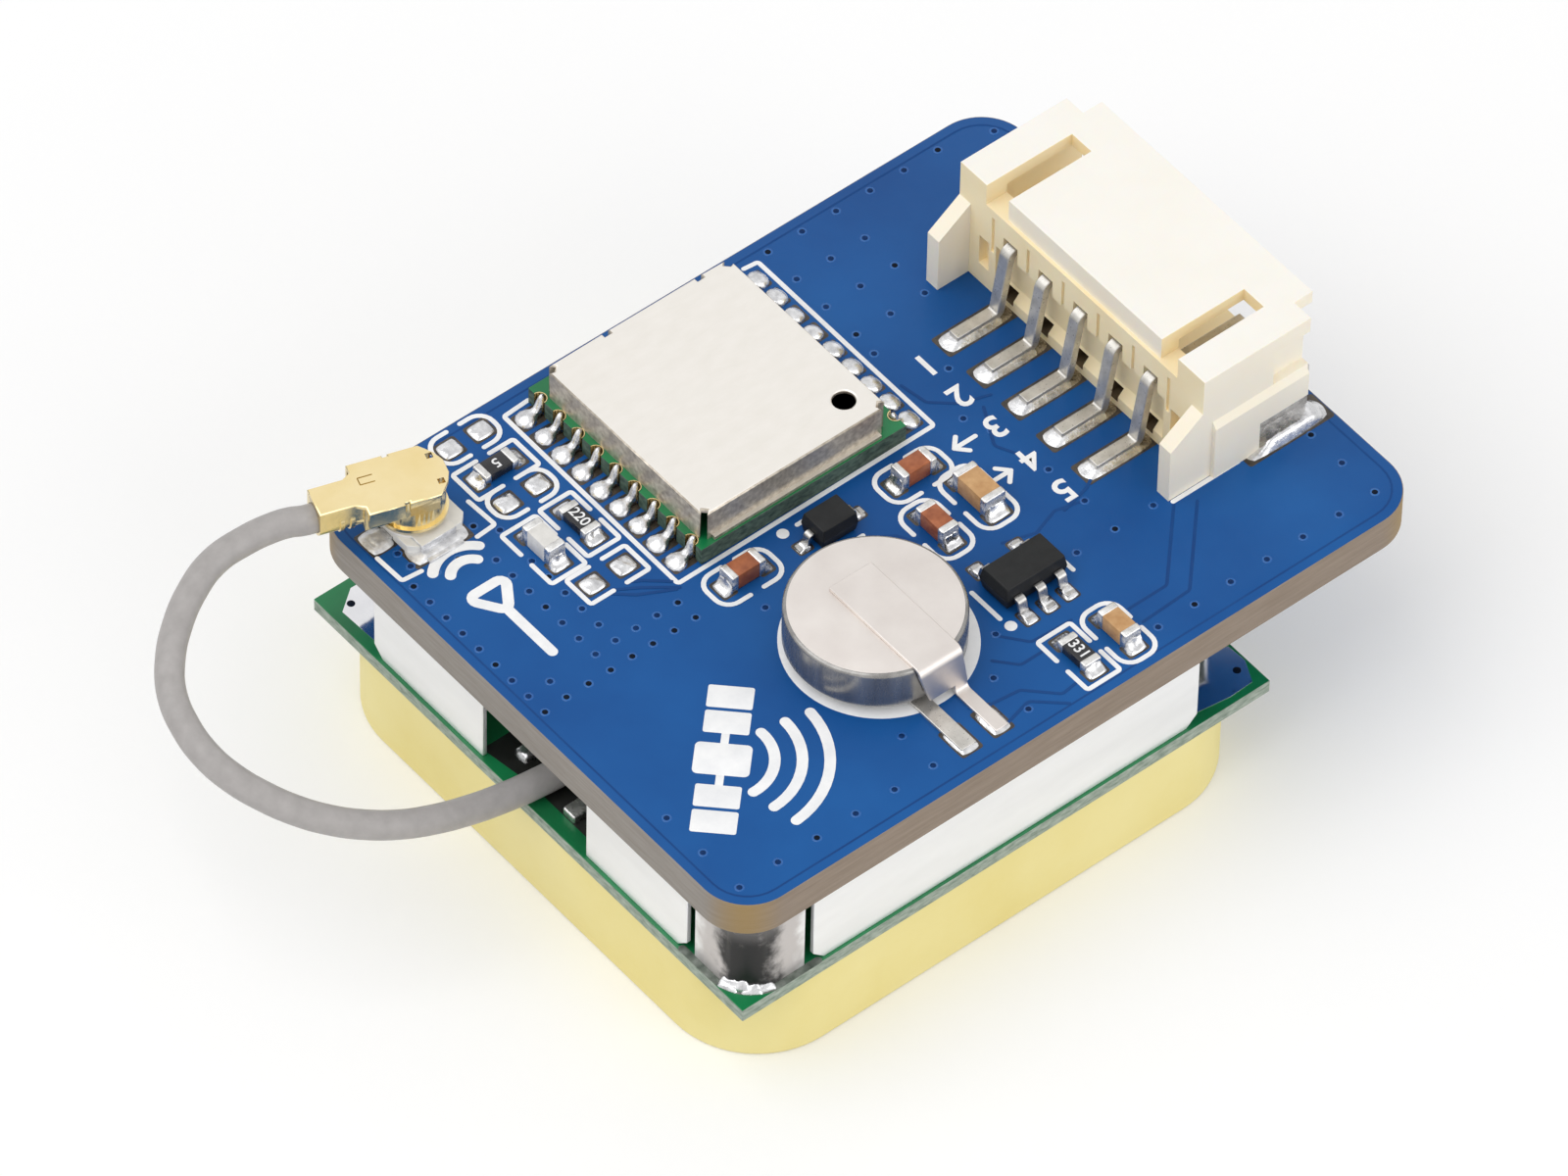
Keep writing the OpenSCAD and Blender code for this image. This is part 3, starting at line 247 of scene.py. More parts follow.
def makeLaminateEdge():
    # routed glass-epoxy edge: grey ends, brown long sides, fine level streaks, honey where the cutter turned
    finish = makeFinish("routedLaminate", "#888179", "#97918B", 0.0, (0.6, 0.78), 0.7, 0.12, 0.012,
                        (0.35, 0.35, 5))
    tree, base, place, axes = reopen(finish)
    plain = base.links[0].from_socket
    near = []
    for axis, (start, end) in (("X", routedEdge["ends"]), ("Y", routedEdge["sides"])):
        away = calc(tree, "ABSOLUTE", axes[axis])
        near.append(ramp(tree, away, start * mm, end * mm, kind="SMOOTHSTEP"))
    corner = calc(tree, "MULTIPLY", calc(tree, "MULTIPLY", near[0], near[1]), routedEdge["honey"])
    brown = blend(tree, near[1], (1, 1, 1, 1), linear("#FAEADA"))
    tinted = blend(tree, 1.0, plain, brown, "MULTIPLY")
    tree.links.new(blend(tree, corner, tinted, linear("#9E8146")), base)
    return finish


# painted reflection at the shield's corner tabs: its middle and half width, and where each mark starts and
# ends, in mm
shieldPaintedReflection = {"middle": -3.5, "half": 12.23, "cloud": 1.3, "wander": 0.6, "dark": (1.05, 1.85),
            "dull": (2.2, 3.1), "height": (6.9, 7.9)}


def makeShieldSkin():
    # bright rolled tinplate, with a painted dark reflection and a painted grey sheen round each corner tab
    finish = makeFinish("heatedTinplate", "#F3F3F3", "#FBFBFB", 0.5, (0.3, 0.4), 5.0, 0.15, 0.003, (1, 1, 4))
    tree, base, place, axes = reopen(finish)
    plain = base.links[0].from_socket
    squares = []
    for away in (calc(tree, "SUBTRACT", axes["X"], shieldPaintedReflection["middle"] * mm), axes["Y"]):
        gap = calc(tree, "SUBTRACT", shieldPaintedReflection["half"] * mm, calc(tree, "ABSOLUTE", away))
        squares.append(calc(tree, "POWER", gap, 2.0))
    distance = calc(tree, "POWER", calc(tree, "ADD", squares[0], squares[1]), 0.5)
    wander = shieldPaintedReflection["wander"] * mm
    cloud = ramp(tree, noise(tree, place, shieldPaintedReflection["cloud"], 5.0, 0.6), 0.25, 0.75, -wander, wander)
    ragged = calc(tree, "ADD", distance, cloud)
    shares = []
    for value, mark, least, most in ((ragged, "dark", 0.97, 0.0), (axes["Z"], "height", 1.0, 0.8),
                                     (ragged, "dull", 0.9, 0.0)):
        start, end = shieldPaintedReflection[mark]
        shares.append(ramp(tree, value, start * mm, end * mm, least, most, "SMOOTHSTEP"))
    # a painted grey sheen round each tab, and over it a painted dark reflection
    grey = blend(tree, shares[2], plain, linear("#C6C0BE"))
    darkReflection = blend(tree, calc(tree, "MULTIPLY", shares[0], shares[1]), grey, linear("#0C0D0F"))
    tree.links.new(darkReflection, base)
    return finish


laminateEdge = makeLaminateEdge()
shieldSkin = makeShieldSkin()
print("finishes made:", len(bpy.data.materials))


# mesh building, all places in mm
def newShape():
    return {"points": [], "faces": [], "finish": []}


def addFaces(shape, points, faces, finish=0):
    base = len(shape["points"])
    shape["points"] += [tuple(p) for p in points]
    shape["faces"] += [tuple(base + i for i in f) for f in faces]
    shape["finish"] += [finish] * len(faces)


def addLoft(shape, rings, finish=0, startCap=True, endCap=True):
    count = len(rings[0])
    points = [p for ring in rings for p in ring]
    faces = []
    for i in range(len(rings) - 1):
        for k in range(count):
            a, b = i * count + k, i * count + (k + 1) % count
            faces.append((a, b, b + count, a + count))
    if startCap:
        faces.append(tuple(range(count - 1, -1, -1)))
    if endCap:
        faces.append(tuple((len(rings) - 1) * count + k for k in range(count)))
    addFaces(shape, points, faces, finish)


def roundRect(length, width, radius, steps=5):
    points = []
    for cx, cy, start in ((1, 1, 0), (-1, 1, 90), (-1, -1, 180), (1, -1, 270)):
        for k in range(steps + 1):
            a = math.radians(start + 90 * k / steps)
            points.append((cx * (length / 2 - radius) + radius * math.cos(a),
                           cy * (width / 2 - radius) + radius * math.sin(a)))
    return points


def shrink(outline, by):
    # moves a closed outline inwards by a small distance
    out = []
    n = len(outline)
    for i in range(n):
        a, b, c = (Vector(outline[j % n]) for j in (i - 1, i, i + 1))
        d1, d2 = (b - a), (c - b)
        if d1.length < 1e-9 or d2.length < 1e-9:
            out.append(tuple(b))
            continue
        n1 = Vector((-d1.y, d1.x)).normalized()
        n2 = Vector((-d2.y, d2.x)).normalized()
        way = n1 + n2
        way = way / max(way.dot(n1), 0.3) if way.length > 1e-6 else n1
        out.append(tuple(b + way * by))
    return out


def addPlate(shape, outline, low, high, edge=0.03, finish=0, sideFinish=None, place=None, steps=2):
    # flat piece from an anticlockwise outline, with rounded upper and lower edges
    rings = []
    for k in range(steps, -1, -1):
        a = math.radians(90 * k / steps)
        rings.append([(x, y, low + edge * (1 - math.cos(math.pi / 2 - a)))
                      for x, y in shrink(outline, edge * (1 - math.cos(a)))])
    rings = rings + [[(x, y, high - (z - low)) for x, y, z in ring] for ring in rings[::-1]]
    if place is not None:
        rings = [[tuple(place @ Vector(p)) for p in ring] for ring in rings]
    side = finish if sideFinish is None else sideFinish
    addLoft(shape, rings, side, False, False)
    count = len(outline)
    base = len(shape["points"]) - len(rings) * count
    shape["faces"] += [tuple(base + k for k in range(count - 1, -1, -1)),
                       tuple(base + (len(rings) - 1) * count + k for k in range(count))]
    shape["finish"] += [finish, finish]


def addLathe(shape, profile, centre, steps=64, finish=0):
    # profile runs from the lower axis point outwards and up to the upper axis point
    rings = []
    for r, z in profile:
        rings.append([(centre[0] + r * math.cos(2 * math.pi * k / steps),
                       centre[1] + r * math.sin(2 * math.pi * k / steps), z) for k in range(steps)])
    addLoft(shape, rings, finish)


def toMesh(name, shape):
    mesh = bpy.data.meshes.new(name)
    mesh.from_pydata([(x * mm, y * mm, z * mm) for x, y, z in shape["points"]], [], shape["faces"])
    mesh.polygons.foreach_set("material_index", shape["finish"])
    mesh.update()
    return mesh


def makePiece(name, mesh, finishes, stands=(), smoothAngle=35):
    piece = bpy.data.objects.new(name, mesh)
    bpy.context.scene.collection.objects.link(piece)
    for finish in finishes or ():
        mesh.materials.append(finish)
    mesh.shade_smooth()
    mesh.set_sharp_from_angle(angle=math.radians(smoothAngle))
    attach(piece, "root")
    if stands:
        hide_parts(*stands)
    return piece


def shapePiece(name, shape, finishes, stands=(), smoothAngle=35):
    return makePiece(name, toMesh(name, shape), finishes, stands, smoothAngle)


# rounded copies of CAD nodes: weld and facet in mm, flat and sharp in degrees
softForm = {"weld": 0.002, "facet": 0.12, "flat": 1, "sharp": 28}


def softCopy(name, nodes, width, finishes, weigh=None, steps=2, sort=None, clamp=True, merge=None):
    # a rounded-edge twin of CAD nodes: merged, its flat faces joined, then bevelled where it is sharp
    mesh = bpy.data.meshes.new(name)
    work = bmesh.new()
    for node in nodes:
        work.from_mesh(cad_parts[node].data)
    for face in work.faces:
        face.material_index = 0
    bmesh.ops.remove_doubles(work, verts=work.verts, dist=softForm["weld"] * mm)
    bmesh.ops.dissolve_limit(work, angle_limit=math.radians(softForm["flat"]), verts=work.verts,
                             edges=work.edges)
    if merge is not None:
        near = [v for v in work.verts if merge(v.co / mm)]
        bmesh.ops.remove_doubles(work, verts=near, dist=softForm["facet"] * mm)
    weights = work.edges.layers.float.new("bevel_weight_edge")
    for edge in work.edges:
        if len(edge.link_faces) == 2 and edge.calc_face_angle(0) > math.radians(softForm["sharp"]):
            middle = (edge.verts[0].co + edge.verts[1].co) / (2 * mm)
            edge[weights] = 1.0 if weigh is None else weigh(middle, edge.calc_length() / mm)
    if sort is not None:
        for face in work.faces:
            face.material_index = sort(face.calc_center_median() / mm, face.normal)
    work.to_mesh(mesh)
    work.free()
    piece = makePiece(name, mesh, finishes, nodes)
    bevel = piece.modifiers.new("edges", "BEVEL")
    bevel.limit_method = "WEIGHT"
    bevel.width = width * mm
    bevel.segments = steps
    bevel.use_clamp_overlap = clamp
    bevel.harden_normals = False
    shade = piece.modifiers.new("shade", "WEIGHTED_NORMAL")
    shade.keep_sharp = True
    return piece


def dress(finish, *nodes):
    for node in nodes:
        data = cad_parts[node].data
        data.materials.clear()
        data.materials.append(finish)


# coax lead: the route's own points from the part, in mm
coaxLead = {
    "width": 1.13,
    "route": [(-16.40, 10.68, 11.45), (-17.54, 11.05, 11.45), (-18.60, 11.48, 11.45), (-21.25, 11.65, 11.26),
              (-23.81, 10.48, 10.70), (-25.56, 8.58, 9.89), (-25.87, 6.16, 8.89), (-24.88, 4.12, 7.77),
              (-23.19, 2.40, 6.77), (-20.94, 1.19, 5.96), (-18.30, 0.52, 5.40), (-15.55, 0.10, 5.215),
              (-12.65, -0.10, 5.215), (-11.45, -0.10, 5.215)],
}


def smoothRoute(points, parts):
    knots = [Vector(p) for p in points]
    ends = [knots[0] * 2 - knots[1]] + knots + [knots[-1] * 2 - knots[-2]]
    out = []
    for i in range(1, len(ends) - 2):
        a, b, c, d = ends[i - 1:i + 3]
        for k in range(parts):
            t = k / parts
            out.append(0.5 * (2 * b + (c - a) * t + (2 * a - 5 * b + 4 * c - d) * t ** 2
                              + (3 * b - a - 3 * c + d) * t ** 3))
    return out + [knots[-1]]


def makeLead():
    curve = bpy.data.curves.new("coaxJacket", "CURVE")
    curve.dimensions = "3D"
    curve.bevel_depth = coaxLead["width"] / 2 * mm
    curve.bevel_resolution = 6
    curve.resolution_u = 6
    curve.use_fill_caps = True
    knots = smoothRoute(coaxLead["route"], 2)
    line = curve.splines.new("BEZIER")
    line.bezier_points.add(len(knots) - 1)
    for point, knot in zip(line.bezier_points, knots):
        point.co = knot * mm
        point.handle_left_type = point.handle_right_type = "AUTO"
    curve.materials.append(greyJacket)
    lead = bpy.data.objects.new("coaxJacket", curve)
    bpy.context.scene.collection.objects.link(lead)
    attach(lead, "root")
    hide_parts("coax_lead")
    length = sum((b - a).length for a, b in zip(knots, knots[1:]))
    print("coax lead: %.1f mm" % length)
    return lead, length


jacket, leadLength = makeLead()


# main board: masked faces and a routed edge
mainBoard = {"length": 32.5, "width": 25.0, "corner": 2.0, "edge": 0.03}
outline = roundRect(mainBoard["length"], mainBoard["width"], mainBoard["corner"], steps=14)
shape = newShape()
addPlate(shape, outline, boardUnder, boardTop, mainBoard["edge"], sideFinish=1)
shapePiece("mainBoard", shape, [blueMask, laminateEdge], ["main_board"])


# Geometry Nodes: flat lines along drawn paths, and small shapes repeated on points
def newTree(name, sockets):
    tree = bpy.data.node_groups.new(name, "GeometryNodeTree")
    tree.interface.new_socket("Geometry", in_out="INPUT", socket_type="NodeSocketGeometry")
    for label, kind in sockets:
        tree.interface.new_socket(label, in_out="INPUT", socket_type=kind)
    tree.interface.new_socket("Geometry", in_out="OUTPUT", socket_type="NodeSocketGeometry")
    return tree, addNode(tree, "NodeGroupInput"), addNode(tree, "NodeGroupOutput")


def closeTree(tree, given, made, geometry):
    # makes instances real and gives them their finish
    real = addNode(tree, "GeometryNodeRealizeInstances", {"Geometry": geometry})
    clad = addNode(tree, "GeometryNodeSetMaterial", {
        "Geometry": real.outputs[0], "Material": given.outputs["Finish"]})
    tree.links.new(clad.outputs[0], made.inputs[0])
    return tree


def makeLineTree():
    tree, given, made = newTree("drawnLines", [
        ("Width", "NodeSocketFloat"), ("Thickness", "NodeSocketFloat"), ("Corner", "NodeSocketFloat"),
        ("Finish", "NodeSocketMaterial")])
    drawn = addNode(tree, "GeometryNodeMeshToCurve", {"Mesh": given.outputs["Geometry"]})
    eased = addNode(tree, "GeometryNodeFilletCurve", {
        "Curve": drawn.outputs[0], "Count": 5, "Radius": given.outputs["Corner"], "Limit Radius": True},
        mode="POLY")
    flat = addNode(tree, "GeometryNodeSetCurveNormal", {"Curve": eased.outputs[0]}, mode="Z_UP")
    section = addNode(tree, "GeometryNodeCurvePrimitiveQuadrilateral", {
        "Width": given.outputs["Width"], "Height": given.outputs["Thickness"]})
    band = addNode(tree, "GeometryNodeCurveToMesh", {
        "Curve": flat.outputs[0], "Profile Curve": section.outputs[0], "Fill Caps": True})
    # a dot rounds each end, a little proud of the band
    half = calc(tree, "MULTIPLY", given.outputs["Width"], 0.5)
    proud = calc(tree, "MULTIPLY", given.outputs["Thickness"], 1.3)
    dot = addNode(tree, "GeometryNodeMeshCylinder", {"Vertices": 16, "Radius": half, "Depth": proud})
    tips = addNode(tree, "GeometryNodeCurveEndpointSelection")
    ends = addNode(tree, "GeometryNodeInstanceOnPoints", {
        "Points": flat.outputs[0], "Selection": tips.outputs[0], "Instance": dot.outputs["Mesh"]})
    both = addNode(tree, "GeometryNodeJoinGeometry")
    tree.links.new(band.outputs[0], both.inputs[0])
    tree.links.new(ends.outputs[0], both.inputs[0])
    return closeTree(tree, given, made, both.outputs[0])


def makeRepeatTree():
    tree, given, made = newTree("repeatedShapes", [
        ("Template", "NodeSocketObject"), ("Spread", "NodeSocketFloat"), ("Seed", "NodeSocketInt"),
        ("Finish", "NodeSocketMaterial")])
    template = addNode(tree, "GeometryNodeObjectInfo", {"Object": given.outputs["Template"]})
    turn = addNode(tree, "GeometryNodeInputNamedAttribute", {"Name": "turn"}, data_type="FLOAT")
    euler = addNode(tree, "ShaderNodeCombineXYZ", {"Z": turn.outputs["Attribute"]})
    facing = addNode(tree, "FunctionNodeEulerToRotation", {"Euler": euler.outputs[0]})
    least = calc(tree, "SUBTRACT", 1.0, given.outputs["Spread"])
    most = calc(tree, "ADD", 1.0, given.outputs["Spread"])
    size = addNode(tree, "FunctionNodeRandomValue", {
        2: least, 3: most, "Seed": given.outputs["Seed"]}, data_type="FLOAT")
    copies = addNode(tree, "GeometryNodeInstanceOnPoints", {
        "Points": given.outputs["Geometry"], "Instance": template.outputs["Geometry"],
        "Rotation": facing.outputs[0], "Scale": size.outputs[1]})
    return closeTree(tree, given, made, copies.outputs[0])


lineTree = makeLineTree()
repeatTree = makeRepeatTree()
# each drawn line lies a hair higher than the one before, so that crossing strokes share no face
inkStep, inkSteps = 0.0012, 12


def grow(name, source, tree, values):
    holder = bpy.data.objects.new(name + "Source", source)
    bpy.context.scene.collection.objects.link(holder)
    nodes = holder.modifiers.new("grow", "NODES")
    for item in tree.interface.items_tree:
        if item.item_type == "SOCKET" and item.in_out == "INPUT" and item.name in values:
            values[item.identifier] = values.pop(item.name)
    nodes.node_group = tree
    for identifier, value in values.items():
        nodes[identifier] = value
    view = bpy.context.evaluated_depsgraph_get()
    mesh = bpy.data.meshes.new_from_object(holder.evaluated_get(view), depsgraph=view)
    holder.modifiers.remove(nodes)
    bpy.data.objects.remove(holder)
    mesh.name = name
    return mesh


def drawLines(name, lines, width, thickness, corner, finish, height=boardTop, closed=()):
    points, edges = [], []
    for n, line in enumerate(lines):
        base = len(points)
        rise = height + thickness / 2 + inkStep * (n % inkSteps)
        points += [(x * mm, y * mm, rise * mm) for x, y in line]
        edges += [(base + i, base + i + 1) for i in range(len(line) - 1)]
        if n in closed:
            edges.append((base + len(line) - 1, base))
    source = bpy.data.meshes.new(name + "Paths")
    source.from_pydata(points, edges, [])
    mesh = grow(name, source, lineTree, {
        "Width": width * mm, "Thickness": thickness * mm, "Corner": corner * mm, "Finish": finish})
    return makePiece(name, mesh, None)


def repeatShape(name, template, places, finish, spread=0.0, seed=1, stands=(), smoothAngle=60):
    # places are (x, y, z, turn in degrees)
    holder = bpy.data.objects.new(name + "Template", template)
    bpy.context.scene.collection.objects.link(holder)
    source = bpy.data.meshes.new(name + "Points")
    source.from_pydata([(x * mm, y * mm, z * mm) for x, y, z, turn in places], [], [])
    turns = source.attributes.new("turn", "FLOAT", "POINT")
    turns.data.foreach_set("value", [math.radians(turn) for x, y, z, turn in places])
    mesh = grow(name, source, repeatTree, {
        "Template": holder, "Spread": spread, "Seed": seed, "Finish": finish})
    bpy.data.objects.remove(holder)
    return makePiece(name, mesh, None, stands, smoothAngle)


# plated through-holes under the mask, most of them filled: rows of (first x, first y, step x, step y, count)
throughHoles = {
    "ring": 0.2, "pit": 0.12, "rise": 0.013, "openRow": (-1.0, 0.0), "openEach": 5, "seenBelow": 9.4,
    "rows": [
        (-15.5, 7.18, 0, -0.956, 9), (-14.42, 7.2, 1.03, 0, 3), (-12.35, 6.3, 0, -0.962, 7),
        (-11.37, 5.44, 0, -0.97, 7), (-14.45, -0.4, 1.03, 0, 3), (-10.4, -0.38, 1.0, 0, 3),
        (-14.45, 0.55, 1, 0, 1), (-10.42, 0.58, 0.98, 0, 3), (-15.2, -7.08, 0, -2.07, 3),
        (-13.37, -11.17, 1.81, 0, 5), (4.46, -11.23, 1.735, 0, 7), (-6.13, -9.39, 1, 0, 1),
        (-1.78, -9.36, 0.05, -1.91, 2), (4.44, -6.65, 1.83, 0, 3), (6.28, -4.91, 1, 0, 1),
        (-0.38, -7.8, 1, 0, 1), (-6.12, -1.59, 1, 0, 1), (8.2, 8.33, -1.65, 0, 3), (8.2, 6.58, -1.65, 0, 3),
        (4.82, 5.44, 1, 0, 1), (4.92, 10.07, 1.64, 0, 3), (13.14, 11.78, -1.64, 0, 6), (6.51, 3.16, 1, 0, 1),
        (5.36, 0.94, 0.45, -1.09, 2), (6.22, -2.92, 1, 0, 1), (-11.99, 8.09, 0.64, -0.75, 2),
        (-14.98, 8.78, 0, -0.77, 2), (14.85, -9.4, 0, 1.75, 2), (15.4, 9.6, 0, 1.6, 2)],
}


def makeThroughHoles():
    spots = [(x + i * dx, y + i * dy) for x, y, dx, dy, count in throughHoles["rows"] for i in range(count)]
    ring, pit, rise = throughHoles["ring"], throughHoles["pit"], throughHoles["rise"]
    rim, well = newShape(), newShape()
    addLathe(rim, [(0.01, -0.01), (ring, -0.01), (ring * 0.9, rise * 0.6), (ring * 0.72, rise),
                   (pit, rise * 0.5), (0.01, rise * 0.4)], (0, 0), steps=16)
    level = rise * 0.75
    addLathe(well, [(0.01, 0), (pit, 0), (pit * 0.94, level), (0.01, level)], (0, 0), steps=14)
    places = [(x, y, boardTop, 0) for x, y in spots]
    # one row and a few others are open, shown as discs of painted shade; the rest are filled to the rim
    low, high = throughHoles["openRow"]
    opened = [p for n, p in enumerate(places) if low < p[1] < high or n % throughHoles["openEach"] == 0]
    filled = [p for p in places if p not in opened]
    lower = [(x, y, boardUnder - level, 0) for x, y in spots if x > throughHoles["seenBelow"]]
    for name, shape, at, finish in (("holeRim", rim, places, maskRimPaintedHighlight), ("holePit", well, opened, holePaintedShade),
                                    ("holePlug", well, filled, maskPlug)):
        repeatShape(name + "s", toMesh(name, shape), at, finish)
    repeatShape("holePitsUnder", toMesh("holePitUnder", well), lower, holePaintedShade)
    print("through-holes:", len(spots))


makeThroughHoles()


# faint copper edges under the mask
copperEdges = {
    "width": 0.13, "pour": 0.08, "thickness": 0.004, "corner": 0.25, "inset": 0.42, "pourCorner": 0.05,
    "lines": [
        [(8.8, -7.0), (6.0, -9.9), (4.2, -9.9)], [(9.5, -7.5), (6.5, -10.6), (4.2, -10.7)],
        [(-0.4, -7.9), (0.4, -8.9), (2.2, -9.0)], [(-1.3, -8.7), (-0.6, -9.5), (0.4, -9.5)],
        [(-3.2, -10.2), (-1.4, -10.4), (-0.3, -11.5), (0.5, -11.4)],
        [(-3.1, -11.4), (-1.5, -11.0), (-0.4, -12.0)],
        [(4.6, 3.6), (4.8, 2.4), (5.7, 1.6), (6.9, 1.2)], [(6.3, 0.9), (5.4, -0.8), (5.9, -1.8)],
        [(5.4, -4.8), (6.7, -4.5), (7.4, -4.1)], [(-10.3, 2.6), (-9.4, 1.8), (-8.1, 1.1)],
        [(-9.9, 2.5), (-9.1, 2.0), (-7.95, 1.1)], [(-9.3, 2.5), (-8.8, 2.2), (-8.0, 1.5)],
        [(-1.2, -1.2), (-0.2, -1.9), (0.2, -2.6)], [(2.6, -4.6), (3.9, -5.0), (5.1, -4.6), (6.3, -4.9)]],
}
drawLines("copperEdges", copperEdges["lines"], copperEdges["width"], copperEdges["thickness"],
          copperEdges["corner"], maskGap)
pourEdge = shrink(roundRect(mainBoard["length"], mainBoard["width"], mainBoard["corner"], steps=8),
                  copperEdges["inset"])
drawLines("pourEdge", [pourEdge], copperEdges["pour"], copperEdges["thickness"], copperEdges["pourCorner"],
          maskGap, closed=(0,))


# printed legend: part outlines, dots, a disc under the cell, pin numbers and two arrows
legend = {
    "width": 0.19, "thickness": 0.014, "corner": 0.11, "edge": 0.004, "gap": 0.32, "bend": 0.62,
    "capacitors": [((-5.85, 0.05), 0, 2.95, 1.7), ((2.15, -0.05), 0, 2.95, 1.7),
                   ((1.15, -2.6), 90, 2.95, 1.65), ((3.35, -2.35), 90, 3.15, 1.75),
                   ((3.15, -10.55), 90, 2.95, 1.65), ((-9.62, 11.55), 0, 2.75, 1.45),
                   ((-9.62, 8.2), 0, 2.75, 1.45)],
    "resistors": [((-9.65, 9.7), 0, 2.85, 1.55), ((-8.9, 5.75), 90, 2.85, 1.5),
                  ((1.3, -10.5), 90, 2.85, 1.55), ((-10.7, 5.6), 90, 2.95, 1.6),
                  ((-9.62, 3.2), 0, 2.75, 1.45)],
    "lines": [
        [(-6.6, 11.62), (-7.8, 11.55), (-7.88, 1.28), (4.3, 1.36), (4.33, 11.62), (3.7, 11.68)],
        [(-15.7, 9.06), (-15.66, 7.66), (-14.82, 7.58)], [(-11.39, 9.13), (-11.32, 7.66), (-12.2, 7.6)],
        [(8.78, -6.97), (11.9, -6.97)], [(0.2, -5.75), (0.2, -7.35)], [(3.8, -5.75), (3.8, -7.2)],
        [(-2.7, -1.15), (-1.15, -1.15)], [(-2.7, 0.75), (-1.2, 0.75)]],
    "dots": [(-3.38, 0.75, 0.24), (0.3, -7.85, 0.24)],
    "disc": (-3.9, -5.4, 3.7),
    "numbers": [("1", 5.95, 3.85), ("2", 5.95, 1.9), ("3", 6.0, -0.05), ("4", 6.0, -2.05), ("5", 6.0, -4.0)],
    "numberSize": 1.5, "numberWeight": 0.03,
    "arrows": [(4.65, 0.0, -1), (4.6, -2.1, 1)], "shaft": 0.5, "barb": (0.1, 0.42),
}


def bracket(place, turn, length, width, curved):
    # two facing halves of a part's outline, open in the middle of its long sides
    spin = Matrix.Rotation(math.radians(turn), 2)
    gap, r = legend["gap"], legend["bend"]
    halves = []
    for side in (1, -1):
        x, y = length / 2, width / 2
        if curved:
            corner = [(x - r + r * math.sin(math.radians(a)), y - r + r * math.cos(math.radians(a)))
                      for a in range(0, 91, 15)]
            path = [(gap, y)] + corner + [(px, -py) for px, py in corner[::-1]] + [(gap, -y)]
        else:
            path = [(gap, y), (x, y), (x, -y), (gap, -y)]
        halves.append([tuple(Vector(place) + spin @ Vector((side * px, py))) for px, py in path])
    return halves


def addNumber(shape, text, x, y, z, size, turn, thickness, weight, finish=0):
    curve = bpy.data.curves.new("digits", "FONT")
    curve.body = text
    curve.size = size * mm
    curve.align_x, curve.align_y = "CENTER", "CENTER"
    curve.extrude = thickness / 2 * mm
    curve.offset = weight * mm
    curve.resolution_u = 4
    holder = bpy.data.objects.new("digits", curve)
    bpy.context.scene.collection.objects.link(holder)
    view = bpy.context.evaluated_depsgraph_get()
    mesh = bpy.data.meshes.new_from_object(holder.evaluated_get(view), depsgraph=view)
    spin = Matrix.Translation((x, y, z + thickness / 2)) @ Matrix.Rotation(math.radians(turn), 4, "Z")
    points = [spin @ (v.co / mm) for v in mesh.vertices]
    addFaces(shape, points, [tuple(p.vertices) for p in mesh.polygons], finish)
    bpy.data.objects.remove(holder)
    bpy.data.meshes.remove(mesh)


def circle(x, y, radius, steps=48):
    return [(x + radius * math.cos(2 * math.pi * k / steps), y + radius * math.sin(2 * math.pi * k / steps))
            for k in range(steps)]


def turned(points, x, y, turn):
    spin = Matrix.Rotation(math.radians(turn), 2)
    return [tuple(Vector((x, y)) + spin @ Vector(p)) for p in points]


def arc(radius, start, end, steps=14):
    return [(radius * math.cos(math.radians(start + (end - start) * k / steps)),
             radius * math.sin(math.radians(start + (end - start) * k / steps))) for k in range(steps + 1)]


def addInk(ink, points):
    # a flat field of ink, as thick as the printed lines
    addPlate(ink, points, boardTop, boardTop + legend["thickness"], legend["edge"])


def makeLegend():
    lines = list(legend["lines"])
    for kind, curved in (("capacitors", True), ("resistors", False)):
        for place, turn, length, width in legend[kind]:
            lines += bracket(place, turn, length, width, curved)
    # arrows beside two of the pin numbers, one out and one in
    shaft, (back, half) = legend["shaft"], legend["barb"]
    for x, y, way in legend["arrows"]:
        lines.append([(x - shaft, y), (x + shaft, y)])
        lines.append([(x + way * back, y + half), (x + way * shaft, y), (x + way * back, y - half)])
    drawLines("printedOutlines", lines, legend["width"], legend["thickness"], legend["corner"], whiteInk)
    ink = newShape()
    for x, y, r in legend["dots"]:
        addInk(ink, circle(x, y, r, steps=24))
    x, y, r = legend["disc"]
    addInk(ink, circle(x, y, r, steps=96))
    for text, x, y in legend["numbers"]:
        addNumber(ink, text, x, y, boardTop, legend["numberSize"], 180, legend["thickness"],
                  legend["numberWeight"])
    shapePiece("printedMarks", ink, [whiteInk])


makeLegend()


# plain signs: an aerial by the coax socket, and a satellite with its signal; arcs are (radius, half angle)
signs = {
    "stroke": 0.42, "corner": 0.24,
    "aerial": (-13.5, 4.0, 90), "mast": [(-2.4, 0), (0.2, 0)], "dish": [(0.1, 0), (1.5, 0.95), (1.5, -0.95)],
    "waves": [(0.8, 52), (1.45, 48)], "wavesFrom": 2.25,
    "satellite": (-11.9, -6.2, 45), "signal": [(1.9, 48), (2.9, 44), (3.9, 41)], "body": (1.5, 2.1, 0.2),
    "panel": (1.05, 1.7, 0.08), "panelFrom": 1.75, "panelStep": 1.2, "strut": (0.52, 0.3, 0.02),
    "strutFrom": 0.99, "strutThick": 0.75, "strutEdge": 0.002,
}


